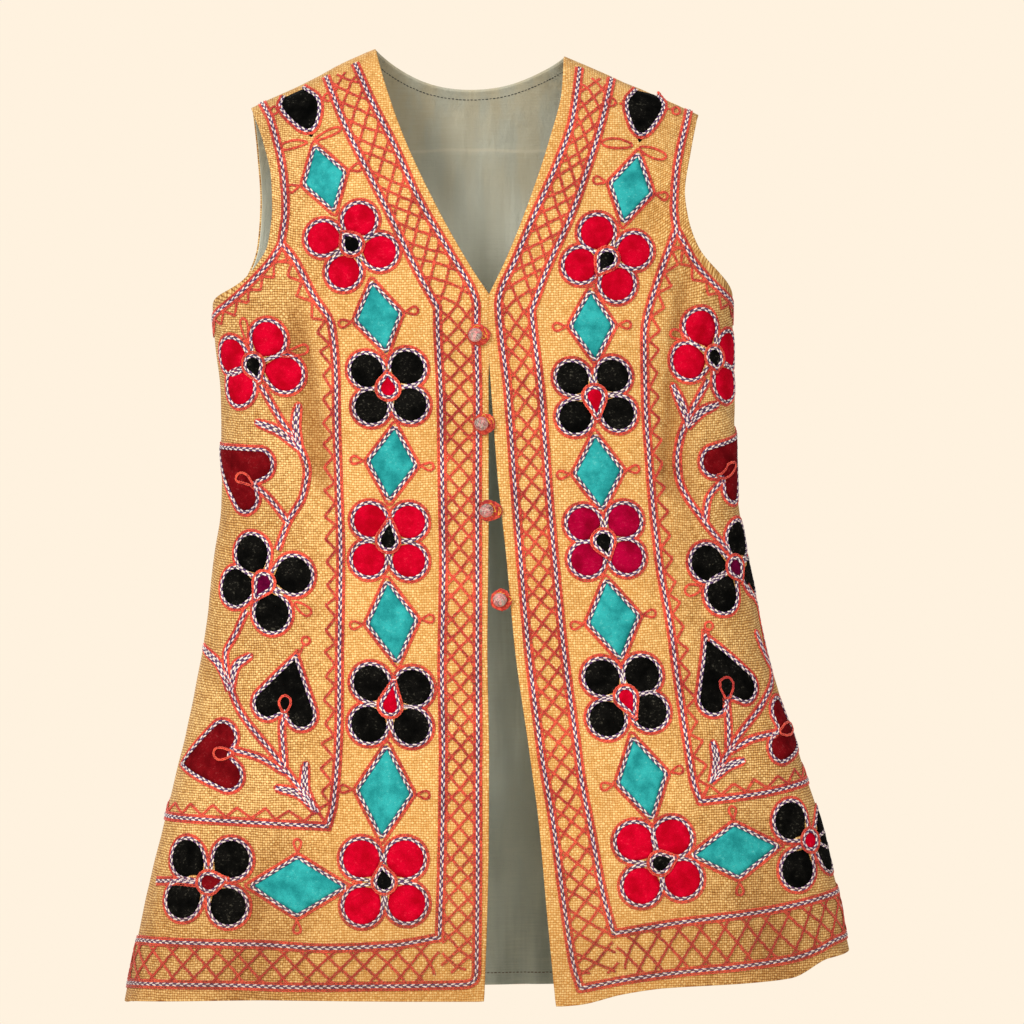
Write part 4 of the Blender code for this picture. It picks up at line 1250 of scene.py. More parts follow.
MOTIFS = {
    "left": table(
        "name shape velvet x z size_a size_b turn heart",
        ("kite", "kite", "black", -138.5, -24, 0, 0, 0, ""),
        ("diamond_1", "diamond", "teal", -120, -79, 17.5, 28, 17, ""),
        ("diamond_2", "diamond", "teal", -77, -190, 18.5, 28.5, 10, ""),
        ("diamond_3", "diamond", "teal", -66, -307, 19.5, 30, -5, ""),
        ("diamond_4", "diamond", "teal", -66, -434, 20, 33, 5, ""),
        ("diamond_5", "diamond", "teal", -72, -570, 22, 37, -4, ""),
        ("diamond_6", "diamond", "teal", -142, -645.5, 39.5, 23.5, 0, ""),
        ("flower_1", "flower", "red", -98, -132, 21, 13.4, 70, "black"),
        ("flower_2", "flower", "black", -69, -247, 22, 13.6, 47, "red"),
        ("flower_3", "flower", "red", -69, -369, 22.5, 13.6, 48, "black"),
        ("flower_4", "flower", "black", -67.5, -501, 24.5, 14.6, 46, "red"),
        ("flower_5", "flower", "red", -72, -642, 25, 15.2, 43, "black"),
        ("flower_6", "flower", "black", -212, -642.5, 24.5, 15, 43, "dark_red"),
        ("flower_7", "flower", "red", -176.5, -228, 23.5, 14.2, 62, "black"),
        ("flower_8", "flower", "black", -168, -402.5, 25.5, 15, 14, "plum"),
        ("heart_1", "heart", "dark_red", -186, -315.5, 27, 48, 152, ""),
        ("heart_2", "heart", "black", -150.4, -495.2, 26, 35, 74, ""),
        ("heart_3", "heart", "dark_red", -207.5, -542.5, 27.5, 40, 189, ""),
    ),
    "right": table(
        "name shape velvet x z size_a size_b turn heart",
        ("kite", "kite", "black", 135.5, -25.5, 0, 0, 0, ""),
        ("diamond_1", "diamond", "teal", 125, -87, 17.5, 29, -12, ""),
        ("diamond_2", "diamond", "teal", 94, -197, 17.5, 28.5, 2, ""),
        ("diamond_3", "diamond", "teal", 99, -314, 19.5, 30.5, 4.5, ""),
        ("diamond_4", "diamond", "teal", 111, -432, 21, 32.5, 8.5, ""),
        ("diamond_5", "diamond", "teal", 134, -559, 20, 33.5, 12, ""),
        ("diamond_6", "diamond", "teal", 210, -617, 38, 21.5, 5, ""),
        ("flower_1", "flower", "red", 106, -143.5, 22.5, 13.8, 16, "black"),
        ("flower_2", "flower", "black", 96, -253.5, 22, 13.4, 47, "red"),
        ("flower_3", "flower", "crimson", 103, -369, 22, 13.6, 46, "black"),
        ("flower_4", "flower", "black", 121, -494, 24, 14.4, 46, "red"),
        ("flower_5", "flower", "red", 148, -627, 25, 15, 52, "black"),
        ("flower_6", "flower", "black", 267, -609, 24.5, 15, 47, "red"),
        ("flower_7", "flower", "red", 192, -222, 23.5, 14.2, 22, "black"),
        ("flower_8", "flower", "black", 208, -390, 25, 14.6, 80, "plum"),
        ("heart_1", "heart", "dark_red", 203.2, -309.6, 26.5, 40, 44, ""),
        ("heart_2", "heart", "black", 199.6, -481.6, 27.5, 39, 109, ""),
        ("heart_3", "heart", "dark_red", 249, -522, 26, 33, -14, ""),
    ),
}
SIDE_RING = 3.2
LOBE_POINTS = 40
VELVET_INSET = 0.6
# Radii of a flower's middle: its velvet and its lines
CENTRE_VELVET = 6.6
CENTRE_TWO_TONE = 7.2
CENTRE_ORANGE = 9.7
# Radius inside which the petals' lines stop at a flower's middle
CENTRE_CLEAR = 10.9
# Petals: how much fuller than the table says, and how far out at most
PETAL_GROWTH = 1.06
PETAL_REACH = 27.0
# How near to a petal the orange lines of the others stop
ORANGE_MEET = ORANGE_OFF - 0.5
VELVET_RINGS = 5
# Heights of the velvet over the cloth: its foot, its crown and its underside
VELVET_FOOT = 0.25
VELVET_CROWN = 1.15
VELVET_UNDER = 0.05
# Where the four petals of each flower are seen, and the way and reach of the point of its middle
PETALS = table(
    "side flower x_1 z_1 x_2 z_2 x_3 z_3 x_4 z_4 tip_turn tip_reach",
    ("left", "flower_1", -92, -112.5, -121, -127, -104.5, -154, -75.5, -138, 129, 14),
    ("left", "flower_2", -53.5, -230.5, -86, -233, -82.5, -262, -51.5, -260, 90, 14),
    ("left", "flower_3", -52.5, -354, -83.5, -353, -84.5, -384, -52.5, -385, 84, 20),
    ("left", "flower_4", -49, -486.5, -82.5, -483, -84.5, -516, -50.5, -517.5, 78, 23),
    ("left", "flower_5", -55.5, -623.5, -90.5, -623.5, -89.5, -661, -54, -659, 99, 15),
    ("left", "flower_6", -193.5, -623, -228.5, -623, -236.5, -659.5, -197.5, -661.5, 11, 17),
    ("left", "flower_7", -166, -207.5, -193.5, -221, -187, -246.5, -152.5, -235.5, -70, 16),
    ("left", "flower_8", -144.5, -396.5, -178, -379, -192.5, -406.5, -162, -427, 238, 18),
    ("right", "flower_1", 127.5, -137, 98, -122.5, 85, -148.5, 114, -163.5, 238, 16),
    ("right", "flower_2", 110.5, -237, 78.5, -239, 80.5, -270, 115, -267, -84, 20),
    ("right", "flower_3", 119.5, -353, 87.5, -355.5, 90, -384, 121.5, -382, -73, 16),
    ("right", "flower_4", 134, -476, 102, -478.5, 106, -511.5, 140, -505.5, -68, 19),
    ("right", "flower_5", 158, -606.5, 128, -610, 133.5, -645, 166, -639.5, 19, 15),
    ("right", "flower_6", 285, -594, 253, -593, 259, -632, 289, -627, 100, 10),
    ("right", "flower_7", 203, -216, 182, -198.5, 172.5, -225.5, 201, -243, -88, 12),
    ("right", "flower_8", 210.5, -368, 185, -386.5, 198.5, -412, 221, -398, -60, 14),
)


def turned(points, degrees):
    """Points turned about the origin."""
    angle = math.radians(degrees)
    cos, sin = math.cos(angle), math.sin(angle)
    points = np.asarray(points, float)
    return np.stack((points[:, 0] * cos - points[:, 1] * sin, points[:, 0] * sin + points[:, 1] * cos), axis=-1)


def drop(radius, reach, grow=0.0):
    """A drop: a circle round the origin drawn out to a point along +X, starting at the point."""
    slope = math.asin(min(radius / reach, 0.98))
    around = np.linspace(math.pi / 2 - slope, 1.5 * math.pi + slope, LOBE_POINTS)
    size = radius + grow
    arc = np.stack((size * np.cos(around), size * np.sin(around)), axis=-1)
    return np.concatenate(([(size / math.sin(slope), 0.0)], arc))


def within(points, outline):
    """Which points lie inside a closed outline."""
    x, z = points[:, 0, None], points[:, 1, None]
    ax, az = outline[:, 0], outline[:, 1]
    bx, bz = np.roll(ax, -1), np.roll(az, -1)
    between = (az > z) != (bz > z)
    rise = np.where(bz == az, 1.0, bz - az)
    return (between & (x < ax + (z - az) * (bx - ax) / rise)).sum(axis=1) % 2 == 1


def outside_of(line, outlines, closed=True):
    """The stretches of a line that lie outside all the outlines."""
    line = even(line, closed, 1.0)
    kept = np.ones(len(line), bool)
    for outline in outlines:
        kept &= ~within(line, outline)
    if closed and not kept.all():
        start = int(np.argmin(kept))
        line, kept = np.roll(line, -start, axis=0), np.roll(kept, -start)
    stretches, first = [], None
    for i in range(len(line) + 1):
        here = i < len(line) and kept[i]
        if here and first is None:
            first = i
        if not here and first is not None:
            if i - first > 3:
                stretches.append((line[first:i], closed and kept.all()))
            first = None
    return stretches


def flower_lines(row, petals, centre):
    """A flower's velvet outlines, its two-tone lines and its orange lines, about its middle."""
    places = seen([(petals.x_1, petals.z_1), (petals.x_2, petals.z_2), (petals.x_3, petals.z_3),
                   (petals.x_4, petals.z_4)]) - centre
    places = unit(places) * np.minimum(np.hypot(places[:, 0], places[:, 1]), PETAL_REACH)[:, None]
    lobes = []
    for place in places:
        reach = float(np.hypot(*place))
        way = math.degrees(math.atan2(place[1], place[0])) + 180.0
        radius = min(row.size_b * PETAL_GROWTH, reach * 0.74)
        lobes.append({grow: turned(drop(radius, reach, grow), way) + place
                      for grow in (-VELVET_INSET, 0.0, ORANGE_MEET, ORANGE_OFF)})
    middle = {}
    for radius in (CENTRE_TWO_TONE, CENTRE_ORANGE, CENTRE_CLEAR):
        reach = petals.tip_reach + radius - CENTRE_ORANGE
        middle[radius] = turned(drop(radius, reach), petals.tip_turn)
    ring = middle[CENTRE_CLEAR]
    velvet, two_tone, orange = [], [], []
    for k, lobe in enumerate(lobes):
        outline = lobe[-VELVET_INSET]
        far = np.hypot(outline[:, 0], outline[:, 1])
        out = unit(np.where(far[:, None] > 0.5, outline, places[k]))
        velvet.append(np.where(far[:, None] < CENTRE_TWO_TONE, out * CENTRE_TWO_TONE, outline))
        two_tone += outside_of(lobe[0.0], [ring])
        others = [other[ORANGE_MEET] for other in lobes if other is not lobe]
        orange += outside_of(lobe[ORANGE_OFF], others + [ring])
    two_tone.append((middle[CENTRE_TWO_TONE], True, RAISED * 0.6))
    orange.append((middle[CENTRE_ORANGE], True, RAISED))
    return velvet, two_tone, orange


def softened(corners, inset):
    """A closed outline with straight sides and slightly rounded corners."""
    corners = np.asarray(corners, float)
    beside = (np.roll(corners, 1, axis=0), np.roll(corners, -1, axis=0))
    return np.stack([corners + unit(other - corners) * inset for other in beside], axis=1).reshape(-1, 2)


def diamond_lines(size_a, size_b):
    """A diamond's outlines; small loops stand at its side corners."""
    corners = np.array([(size_a, 0), (0, size_b), (-size_a, 0), (0, -size_b)])
    inner = even(softened(corners * 0.94, 1.2), True)
    line = even(softened(corners, 1.2), True)
    outer = even(softened(corners * (1 + ORANGE_OFF * 1.25 / min(size_a, size_b)), 2.0), True)
    return [inner], [(line, True)], [(outer, True)]


# The corners of the two kites as seen, round from the shoulder by the foot to the shoulder again
KITE_CORNERS = {
    "left": [(-152.6, -14.6), (-156.8, -24.0), (-129.8, -47.6), (-121.0, -16.4), (-136.4, -7.2)],
    "right": [(128.8, -8.8), (118.6, -19.6), (131.8, -51.8), (153.8, -22.6), (145.6, -12.6)],
}


def kite_lines(corners):
    """A kite whose head is cut straight by the shoulder seam, where it has no border."""
    closed = even(softened(corners, 1.6), True)
    sides = even(rounded(corners, 2))
    return [offset(closed, 0.4, True)], [(sides, False)], [(offset(sides, -ORANGE_OFF), False)]


def heart_lines(size_a, size_b):
    """A heart whose tip points along +X."""
    radius = 0.45 * size_a
    centre = size_a - radius
    turn = np.radians(np.linspace(52, 205, 16))
    lobe = np.stack((radius * np.cos(turn) - 0.25 * size_b, centre + radius * np.sin(turn)), axis=-1)
    sides = [(size_b + (lobe[0][0] - size_b) * share, lobe[0][1] * share) for share in (0.0, 0.12, 0.36, 0.7)]
    upper = np.concatenate((sides, lobe))
    notch = np.array([(-0.25 * size_b - 0.1 * size_a, 0.0)])
    line = even(np.concatenate((upper, notch, upper[:0:-1] * (1, -1))), True)
    return [offset(line, 0.5, True)], [(line, True)], [(offset(line, -ORANGE_OFF, True), True)]


SHAPES = {"diamond": diamond_lines, "heart": heart_lines}
ZIGZAGS = table(
    "beside way period depth seed",
    ("frame", -1, 18.5, 9.0, 3),
    ("frame_foot", -1, 20.0, 8.0, 4),
    ("underarm", 1, 16.0, 8.5, 8),
)


def velvet_patch(name, places_velvet):
    """Velvet pieces with rounded edges: each outline on its place, with its velvet."""
    points, faces, slots, materials = [], [], [], []
    start = 0
    for outline, centre, velvet in places_velvet:
        material = VELVETS[velvet]
        if material not in materials:
            materials.append(material)
        middle = outline.mean(axis=0)
        count = len(outline)
        rings, lifts = [], []
        for k in range(VELVET_RINGS + 1):
            share = k / VELVET_RINGS
            rings.append(middle + (outline - middle) * share if k else middle[None])
            lifts.append(VELVET_FOOT + (VELVET_CROWN - VELVET_FOOT) * math.sqrt(max(0.0, 1 - share**5)))
        rings += [outline, middle[None]]
        lifts += [VELVET_UNDER] * 2
        spots = np.concatenate(rings) + centre
        points.append(surface(spots[:, 0], spots[:, 1], np.repeat(lifts, [len(ring) for ring in rings])))
        slot = materials.index(material)
        for i in range(count):
            j = (i + 1) % count
            faces.append((start, start + 1 + i, start + 1 + j))
            for k in range(VELVET_RINGS):
                low, high = start + 1 + k * count, start + 1 + (k + 1) * count
                faces.append((low + i, high + i, high + j, low + j))
            base = start + 1 + VELVET_RINGS * count
            faces.append((base + i, start + 1 + (VELVET_RINGS + 1) * count, base + j))
            slots += [slot] * (VELVET_RINGS + 2)
        start += 2 + (VELVET_RINGS + 1) * count
    made = new_object(name, np.concatenate(points), faces, materials)
    made.data.polygons.foreach_set("material_index", slots)
    return made


def counter_clockwise(outline):
    """The outline in the order that faces outwards."""
    x, y = outline[:, 0], outline[:, 1]
    area = (x * np.roll(y, -1) - np.roll(x, -1) * y).sum()
    return outline if area > 0 else outline[::-1]


# Stems, leaves, thread loops and small rings, as seen; a ring has its middle and the place it is tied to
STROKES = {
    "left": table(
        "kind points",
        ("stem", [(-170, -246), (-155, -273), (-141, -293), (-134.5, -314), (-137, -332), (-149, -354),
                  (-157, -375)]),
        ("stem", [(-176, -324), (-165, -334), (-149, -354)]),
        ("stem", [(-183, -426), (-194, -448), (-199, -460), (-197, -480), (-188, -504), (-162, -538),
                  (-138, -569), (-126, -585)]),
        ("stem", [(-151, -506), (-154, -520), (-152, -548)]),
        ("stem", [(-194, -536), (-173, -542), (-152, -554)]),
        ("stem", [(-252, -641.5), (-234, -641.5), (-222, -642.5)]),
        ("leaf", [(-173, -274.5), (-157.5, -281), (-142.5, -293.5)]),
        ("leaf", [(-142.5, -261), (-144, -276), (-141, -294.5)]),
        ("leaf", [(-216, -454), (-205, -467), (-197, -487)]),
        ("leaf", [(-180, -461.5), (-190.5, -469.5), (-195, -488)]),
        ("leaf", [(-157.5, -567), (-141.5, -571), (-127, -585)]),
        ("leaf", [(-135, -548), (-136, -564), (-129, -582.5)]),
        ("loop", [(-158.5, -221.5), (-148, -216), (-136, -210.5), (-133, -218.5), (-147, -222)]),
        ("loop", [(-181, -212), (-185.5, -201.5), (-188, -190.5), (-181.5, -192), (-180, -210.5)]),
        ("knot", [(-175, -326), (-181, -315), (-187.5, -314.5), (-190.5, -321), (-183, -323)]),
        ("loop", [(-145.5, -417.5), (-137, -419), (-129.5, -425), (-133.5, -430.5), (-140, -425.5)]),
        ("knot", [(-151.5, -509), (-157, -497.5), (-151, -491.5), (-145, -497.5)]),
        ("knot", [(-190, -538.5), (-204, -533.5), (-208.5, -539), (-204, -545.5), (-194, -542)]),
        ("loop", [(-131, -50.5), (-143, -48), (-155, -52), (-153.5, -57.5), (-141.5, -54.5)]),
        ("loop", [(-131, -50.5), (-121, -42.5), (-109, -37.5), (-105.5, -41), (-117, -46.5)]),
        ("ring", [(-135, -449), (-140, -460)]),
        ("ring", [(-117, -14.5), (-122, -15)]),
        ("ring", [(-160, -25.5), (-155, -23)]),
    ),
    "right": table(
        "kind points",
        ("stem", [(186.5, -241.5), (175, -264), (166, -288), (164, -304), (166, -320), (184, -353), (201, -375)]),
        ("stem", [(197.5, -320), (187, -336), (185, -353)]),
        ("stem", [(218.5, -406.5), (230, -432), (236, -468), (232, -496), (208, -530), (189.5, -561.5)]),
        ("stem", [(201.5, -496), (203, -515), (203, -535)]),
        ("stem", [(243, -522.5), (224, -527), (205, -537)]),
        ("leaf", [(161, -245), (166.5, -257.5), (172, -275)]),
        ("leaf", [(193.5, -260), (182.5, -265.5), (172, -277)]),
        ("leaf", [(225, -443), (229.5, -453.5), (235, -467)]),
        ("leaf", [(190.5, -531), (193, -544), (190.5, -560)]),
        ("leaf", [(214.5, -545), (203, -549), (190.5, -560)]),
        ("loop", [(173.5, -208), (161.5, -197.5), (155, -205.5), (172, -209.5)]),
        ("knot", [(191.5, -317.5), (197.5, -314), (201, -306), (206.5, -307), (203.5, -315), (197.5, -320)]),
        ("loop", [(184, -406.5), (172, -402.5), (167, -409.5), (173.5, -414.5)]),
        ("knot", [(202, -499), (194, -482.5), (201.5, -477), (207.5, -484)]),
        ("knot", [(240.5, -523), (248, -513), (254, -517.5), (250, -526)]),
        ("loop", [(129.5, -53.5), (116, -47), (102.5, -48), (101, -53), (113.5, -56)]),
        ("loop", [(129.5, -53.5), (143, -54.5), (155, -61.5), (149, -65.5), (137.5, -61.5)]),
        ("ring", [(188, -437), (188, -448)]),
        ("ring", [(161, -25.5), (154.5, -24)]),
        ("ring", [(109.5, -18.5), (117, -20)]),
    ),
}
RING_RADIUS = 3.3
STEM_GAP = 2.6
LEAF_HALF_WIDTH = 1.5


def add_stroke(side, stroke):
    """The stitched lines of one stem, leaf, loop or ring."""
    orange, two_tone, fine = (threads[side][kind] for kind in ("orange", "two_tone", "fine"))
    points = seen(stroke.points)
    if stroke.kind == "ring":
        middle, tied = points
        t = np.linspace(0, 2 * math.pi, 14, endpoint=False)
        fine.append((middle + RING_RADIUS * np.stack((np.cos(t), np.sin(t)), axis=-1), True))
        near = middle + unit(tied - middle) * RING_RADIUS
        fine.append((even(np.array([tied, (tied + near) / 2, near])), False))
    elif stroke.kind == "loop":
        fine.append((even(rounded(points, 2, True), True), True))
    elif stroke.kind == "knot":
        fine.append((even(rounded(points, 1, True), True), True, KNOT_RISE))
    elif stroke.kind == "stem":
        line = even(drawn(points))
        two_tone.append((line, False))
        orange.append((even(offset(line, STEM_GAP)), False))
        orange.append((even(offset(line, -STEM_GAP)), False))
    else:
        line = drawn(points)
        share = lengths(line) / lengths(line)[-1]
        plump = LEAF_HALF_WIDTH * np.sin(np.pi * np.clip(share, 0.02, 0.9)) ** 0.5
        edges = []
        for way in (-1, 1):
            out = offset(line, way * 1.0) - line
            two_tone.append((even(line + out * plump[:, None]), False))
            edges.append(line + out * (plump + STEM_GAP - 0.4)[:, None])
        tip = line[:1] + unit(line[:1] - line[1:2]) * STEM_GAP
        orange.append((even(np.concatenate((edges[0][::-1], tip, edges[1]))), False))


threads = {side: {kind: [] for kind in ("orange", "lattice", "thin", "fine", "two_tone")}
           for side in ("left", "right", "back")}
velvets = {"left": [], "right": []}
for side in ("left", "right"):
    for row in MOTIFS[side]:
        centre = seen([(row.x, row.z)])[0]
        turn = 0.0
        if row.shape == "flower":
            (petals,) = [p for p in PETALS if (p.side, p.flower) == (side, row.name)]
            outlines, two_tone, orange = flower_lines(row, petals, centre)
        elif row.shape == "kite":
            outlines, two_tone, orange = kite_lines(seen(KITE_CORNERS[side]) - centre)
        else:
            outlines, two_tone, orange = SHAPES[row.shape](row.size_a, row.size_b)
            turn = row.turn
        laid = [(counter_clockwise(turned(outline, turn)), centre, row.velvet) for outline in outlines]
        if row.heart:
            middle = turned(drop(CENTRE_VELVET, petals.tip_reach - 3.0), petals.tip_turn)
            laid.append((counter_clockwise(middle), centre, row.heart))
        name = f"velvet_{side}_{row.name}"
        made = velvet_patch(name, laid)
        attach(made, BODY)
        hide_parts(f"applique_{side}_{row.name}")
        velvets[side].append(made)
        for kind, group in (("two_tone", two_tone), ("orange", orange)):
            for line, closed, *rise in group:
                threads[side][kind].append((even(turned(line, turn) + centre, closed), closed, *rise))
        if row.shape == "diamond":
            upright = row.size_b > row.size_a
            reach = (row.size_a if upright else row.size_b) + ORANGE_OFF * 1.25
            for way in (0.0, 180.0):
                ring = turned(drop(SIDE_RING, 7.2) + (-(reach + 7.6), 0.0), way)
                ring = turned(ring, turn if upright else turn + 90.0) + centre
                threads[side]["fine"].append((even(ring, True), True))
    lines = {name: border_line(side, name) for name in BORDER[side]}
    outer = run_on(lines["outer_neck"], lines["outer_front"], lines["outer_hem"])
    inner = run_on(lines["inner_neck"], lines["inner_front"], lines["inner_hem"])
    arm = run_on(lines["armhole"], lines["underarm"])
    framed = run_on(lines["frame"], lines["frame_foot"])
    for line in (outer, inner, arm, framed):
        threads[side]["two_tone"].append((even(line), False))
        for way in (-1, 1):
            threads[side]["orange"].append((even(offset(line, way * ORANGE_OFF)), False))
    inward = -SIGN[side]
    between = inward * (ORANGE_OFF + 1.0)
    front_rails = [offset(run_on(lines[f"{rail}_neck"], lines[f"{rail}_front"]), way * between)
                   for rail, way in (("inner", 1), ("outer", -1))]
    hem_rails = [offset(lines[f"{rail}_hem"], way * between) for rail, way in (("inner", 1), ("outer", -1))]
    for diagonals in lattice(*front_rails, *LATTICE["front"], 5, run_past=32):
        threads[side]["lattice"] += diagonals
    thin, thick = lattice(*hem_rails, *LATTICE["hem"], 6)[::SIGN[side]]
    threads[side]["lattice"] += thick
    threads[side]["thin"] += thin
    for row in ZIGZAGS:
        line = zigzag(lines[row.beside], row.way * inward, row.period, row.depth, row.seed)
        threads[side]["lattice"].append((line, False))
    for stroke in STROKES[side]:
        add_stroke(side, stroke)

panels = {}
panels["left"] = cloth_wall("front_button_side_cloth", front_grid("left")[:, ::-1], CLOTH, BURLAP,
                            LINING_COTTON)
panels["right"] = cloth_wall("front_loop_side_cloth", front_grid("right"), CLOTH, BURLAP, LINING_COTTON)
neck_columns = np.zeros(BACK_COLUMNS + 1, bool)
neck_start, neck_end = (round(BACK_COLUMNS * share) for share in (BACK_SHOULDER_SHARE, 1 - BACK_SHOULDER_SHARE))
neck_columns[neck_start:neck_end + 1] = True
panels["back"] = cloth_wall("back_cloth", back_grid(), CLOTH, BURLAP, LINING_COTTON, faced=neck_columns)

# The lining's upright folds, their places in quarters of the way round
LINING_FOLDS = table(
    "quarter top_z foot_z spread rise lean",
    (2.16, -60, -330, 5, 2.6, 6),
    (2.08, -75, -360, 4, 2.2, -4),
    (2.01, -50, -300, 6, 3.2, 5),
    (1.93, -75, -420, 4.5, 2.6, -6),
    (1.86, -70, -300, 6.5, 1.6, 4),
    (2.24, -90, -260, 7, 1.4, 0),
    (1.915, -380, -740, 6, 3, -9),
    (1.87, -420, -740, 5, 2.4, -5),
    (1.955, -520, -740, 7, 2.2, 4),
    (2.03, -560, -740, 8, 2.5, 3),
    (2.30, -420, -740, 12, 3, 0),
    (1.70, -420, -740, 12, 3, 0),
)
LINING_CREASE_Z = -48.0
LINING_HEM_RISE = 9.5
LINING_NECK_DROP = 6.5


def lining_wave(s, z):
    """The lining's soft upright folds and its crease."""
    quarter = s / (round_at(z) / 4)
    wave = np.full_like(s, -0.3)
    for fold in LINING_FOLDS:
        down = np.clip((fold.top_z - z) / (fold.top_z - fold.foot_z), 0.0, 1.0)
        off = (quarter - fold.quarter) * round_at(z) / 4 - fold.lean * down
        ends = eased(down / 0.3) * (1.0 if fold.foot_z < HEM_FOLD_Z else eased((1 - down) / 0.3))
        wave -= fold.rise * ends * np.exp(-0.5 * (off / fold.spread) ** 2)
    wave -= 0.5 * np.exp(-0.5 * ((z - LINING_CREASE_Z) / 1.6) ** 2)
    return wave


panels["lining"] = cloth_wall("back_lining_cloth", back_grid(), LINING, LINING_COTTON, LINING_COTTON,
                              lift=-(CLOTH + LAYER_GAP), wave=lining_wave)


def across_back(share, z):
    """The (s, z) places at shares of the way round the back, from the right side seam to the left."""
    start, end = side_seam(z, "right"), round_at(z) + side_seam(z, "left")
    return np.stack((start + (end - start) * share, z), axis=-1)


def lining_stitches():
    """The running stitches of the lining's hem and neck, seen on its inner face."""
    share = np.linspace(0.02, 0.98, 160)
    hem = across_back(share, smooth(share, *columns(BACK_HEM)) + LINING_HEM_RISE)
    _, neck = back_top()
    neck = offset(drawn(neck), -LINING_NECK_DROP)
    lines = [(even(hem), False), (even(neck), False)]

    def depth(s, z):
        return lining_wave(s, z) - (CLOTH + LAYER_GAP + LINING) - 0.1

    return sewn("lining_stitches", lines, depth, GREY_GREEN_THREAD, **STITCH["running"], first_side=0,
                seed=31)


for key, node, slot in (("left", "front_button_side", "burlap"), ("right", "front_loop_side", "burlap"),
                        ("back", "back", "burlap"), ("lining", "back_lining", "lining")):
    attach(panels[key], BODY)
    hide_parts(node)

# Heights at which the back's two hem lines reach the side seams
BACK_LINES = {"outer": {"right": -682.0, "left": -731.0}, "inner": {"right": -645.0, "left": -697.0}}
BACK_EDGE_GAP = 9.0


def back_hem_line(ends):
    """A line round the back above its hem that meets the fronts' lines at the side seams."""
    share = np.linspace(0, 1, 60)
    z = smooth(share, *columns(BACK_HEM))
    rise = {side: ends[side] - SIDE_HEM[side] for side in ends}
    return drawn(across_back(share, z + rise["right"] + (rise["left"] - rise["right"]) * share))


def on_back():
    """The back's border: its hem band, and a line inside each armhole and the neck."""
    outer, inner = back_hem_line(BACK_LINES["outer"]), back_hem_line(BACK_LINES["inner"])
    lines = [outer, inner]
    lines.append(offset(drawn(back_armhole("right")[1:]), -BACK_EDGE_GAP))
    lines.append(offset(drawn(back_armhole("left")[1:]), BACK_EDGE_GAP))
    _, neck = back_top()
    lines.append(offset(drawn(neck), -BACK_EDGE_GAP))
    for line in lines:
        threads["back"]["two_tone"].append((even(line), False))
        for way in (-1, 1):
            threads["back"]["orange"].append((even(offset(line, way * ORANGE_OFF)), False))
    rails = offset(inner, -ORANGE_OFF - 1.0), offset(outer, ORANGE_OFF + 1.0)
    thin, thick = lattice(*rails, *LATTICE["hem"], 21)
    threads["back"]["lattice"] += thick
    threads["back"]["thin"] += thin


on_back()
SEWING = table(
    "name lines lift thread stitch first_side seed",
    ("orange_chain", "orange", CHAIN_LIFT, ORANGE_THREAD, "chain", 0, 11),
    ("orange_lattice", "lattice", CHAIN_LIFT + 0.2, LATTICE_THREAD, "lattice", 0, 12),
    ("red_lattice", "thin", CHAIN_LIFT + 0.5, RED_THREAD, "fine", 0, 15),
    ("orange_loops", "fine", CHAIN_LIFT + 0.5, ORANGE_THREAD, "fine", 0, 14),
    ("white_chain", "two_tone", TWO_TONE_LIFT, WHITE_THREAD, "two_tone", 0, 13),
    ("purple_chain", "two_tone", TWO_TONE_LIFT, PURPLE_THREAD, "two_tone", 1, 13),
)
sewing = {side: [] for side in threads}
sewing["lining"] = [lining_stitches()]
for side, lines in threads.items():
    for work in SEWING:
        if lines[work.lines]:
            sewing[side].append(sewn(f"{work.name}_{side}", lines[work.lines], work.lift, work.thread,
                                     **STITCH[work.stitch], first_side=work.first_side, seed=work.seed))

# Balls and loops

BUTTONS = table(
    "x z loop_shift second",
    (0.6, -204.4, 1.4, 0.62),
    (5.5, -275.5, 1.6, 0.72),
    (9.6, -345.0, 1.6, 0.66),
    (20.2, -416.5, 0.2, 0.0),
)
# The ball and the thread wound on it
BALL_RADIUS = 5.6
BALL_THREAD = 0.62
BALL_WINDINGS = 13
# The loop's least radius, its height over the cloth, and how far past the front's edge it is sewn on
LOOP_RING = 7.6
LOOP_THREAD = 1.6
LOOP_ON_EDGE = -2.2
LOOP_POINTS = 72
# The cord's strands: radius of each and turns round the loop; and the loose threads beside it
STRAND = 1.15
STRAND_TWIST = 8
LOOSE_THREAD = 0.34
LOOSE_ENDS = 4


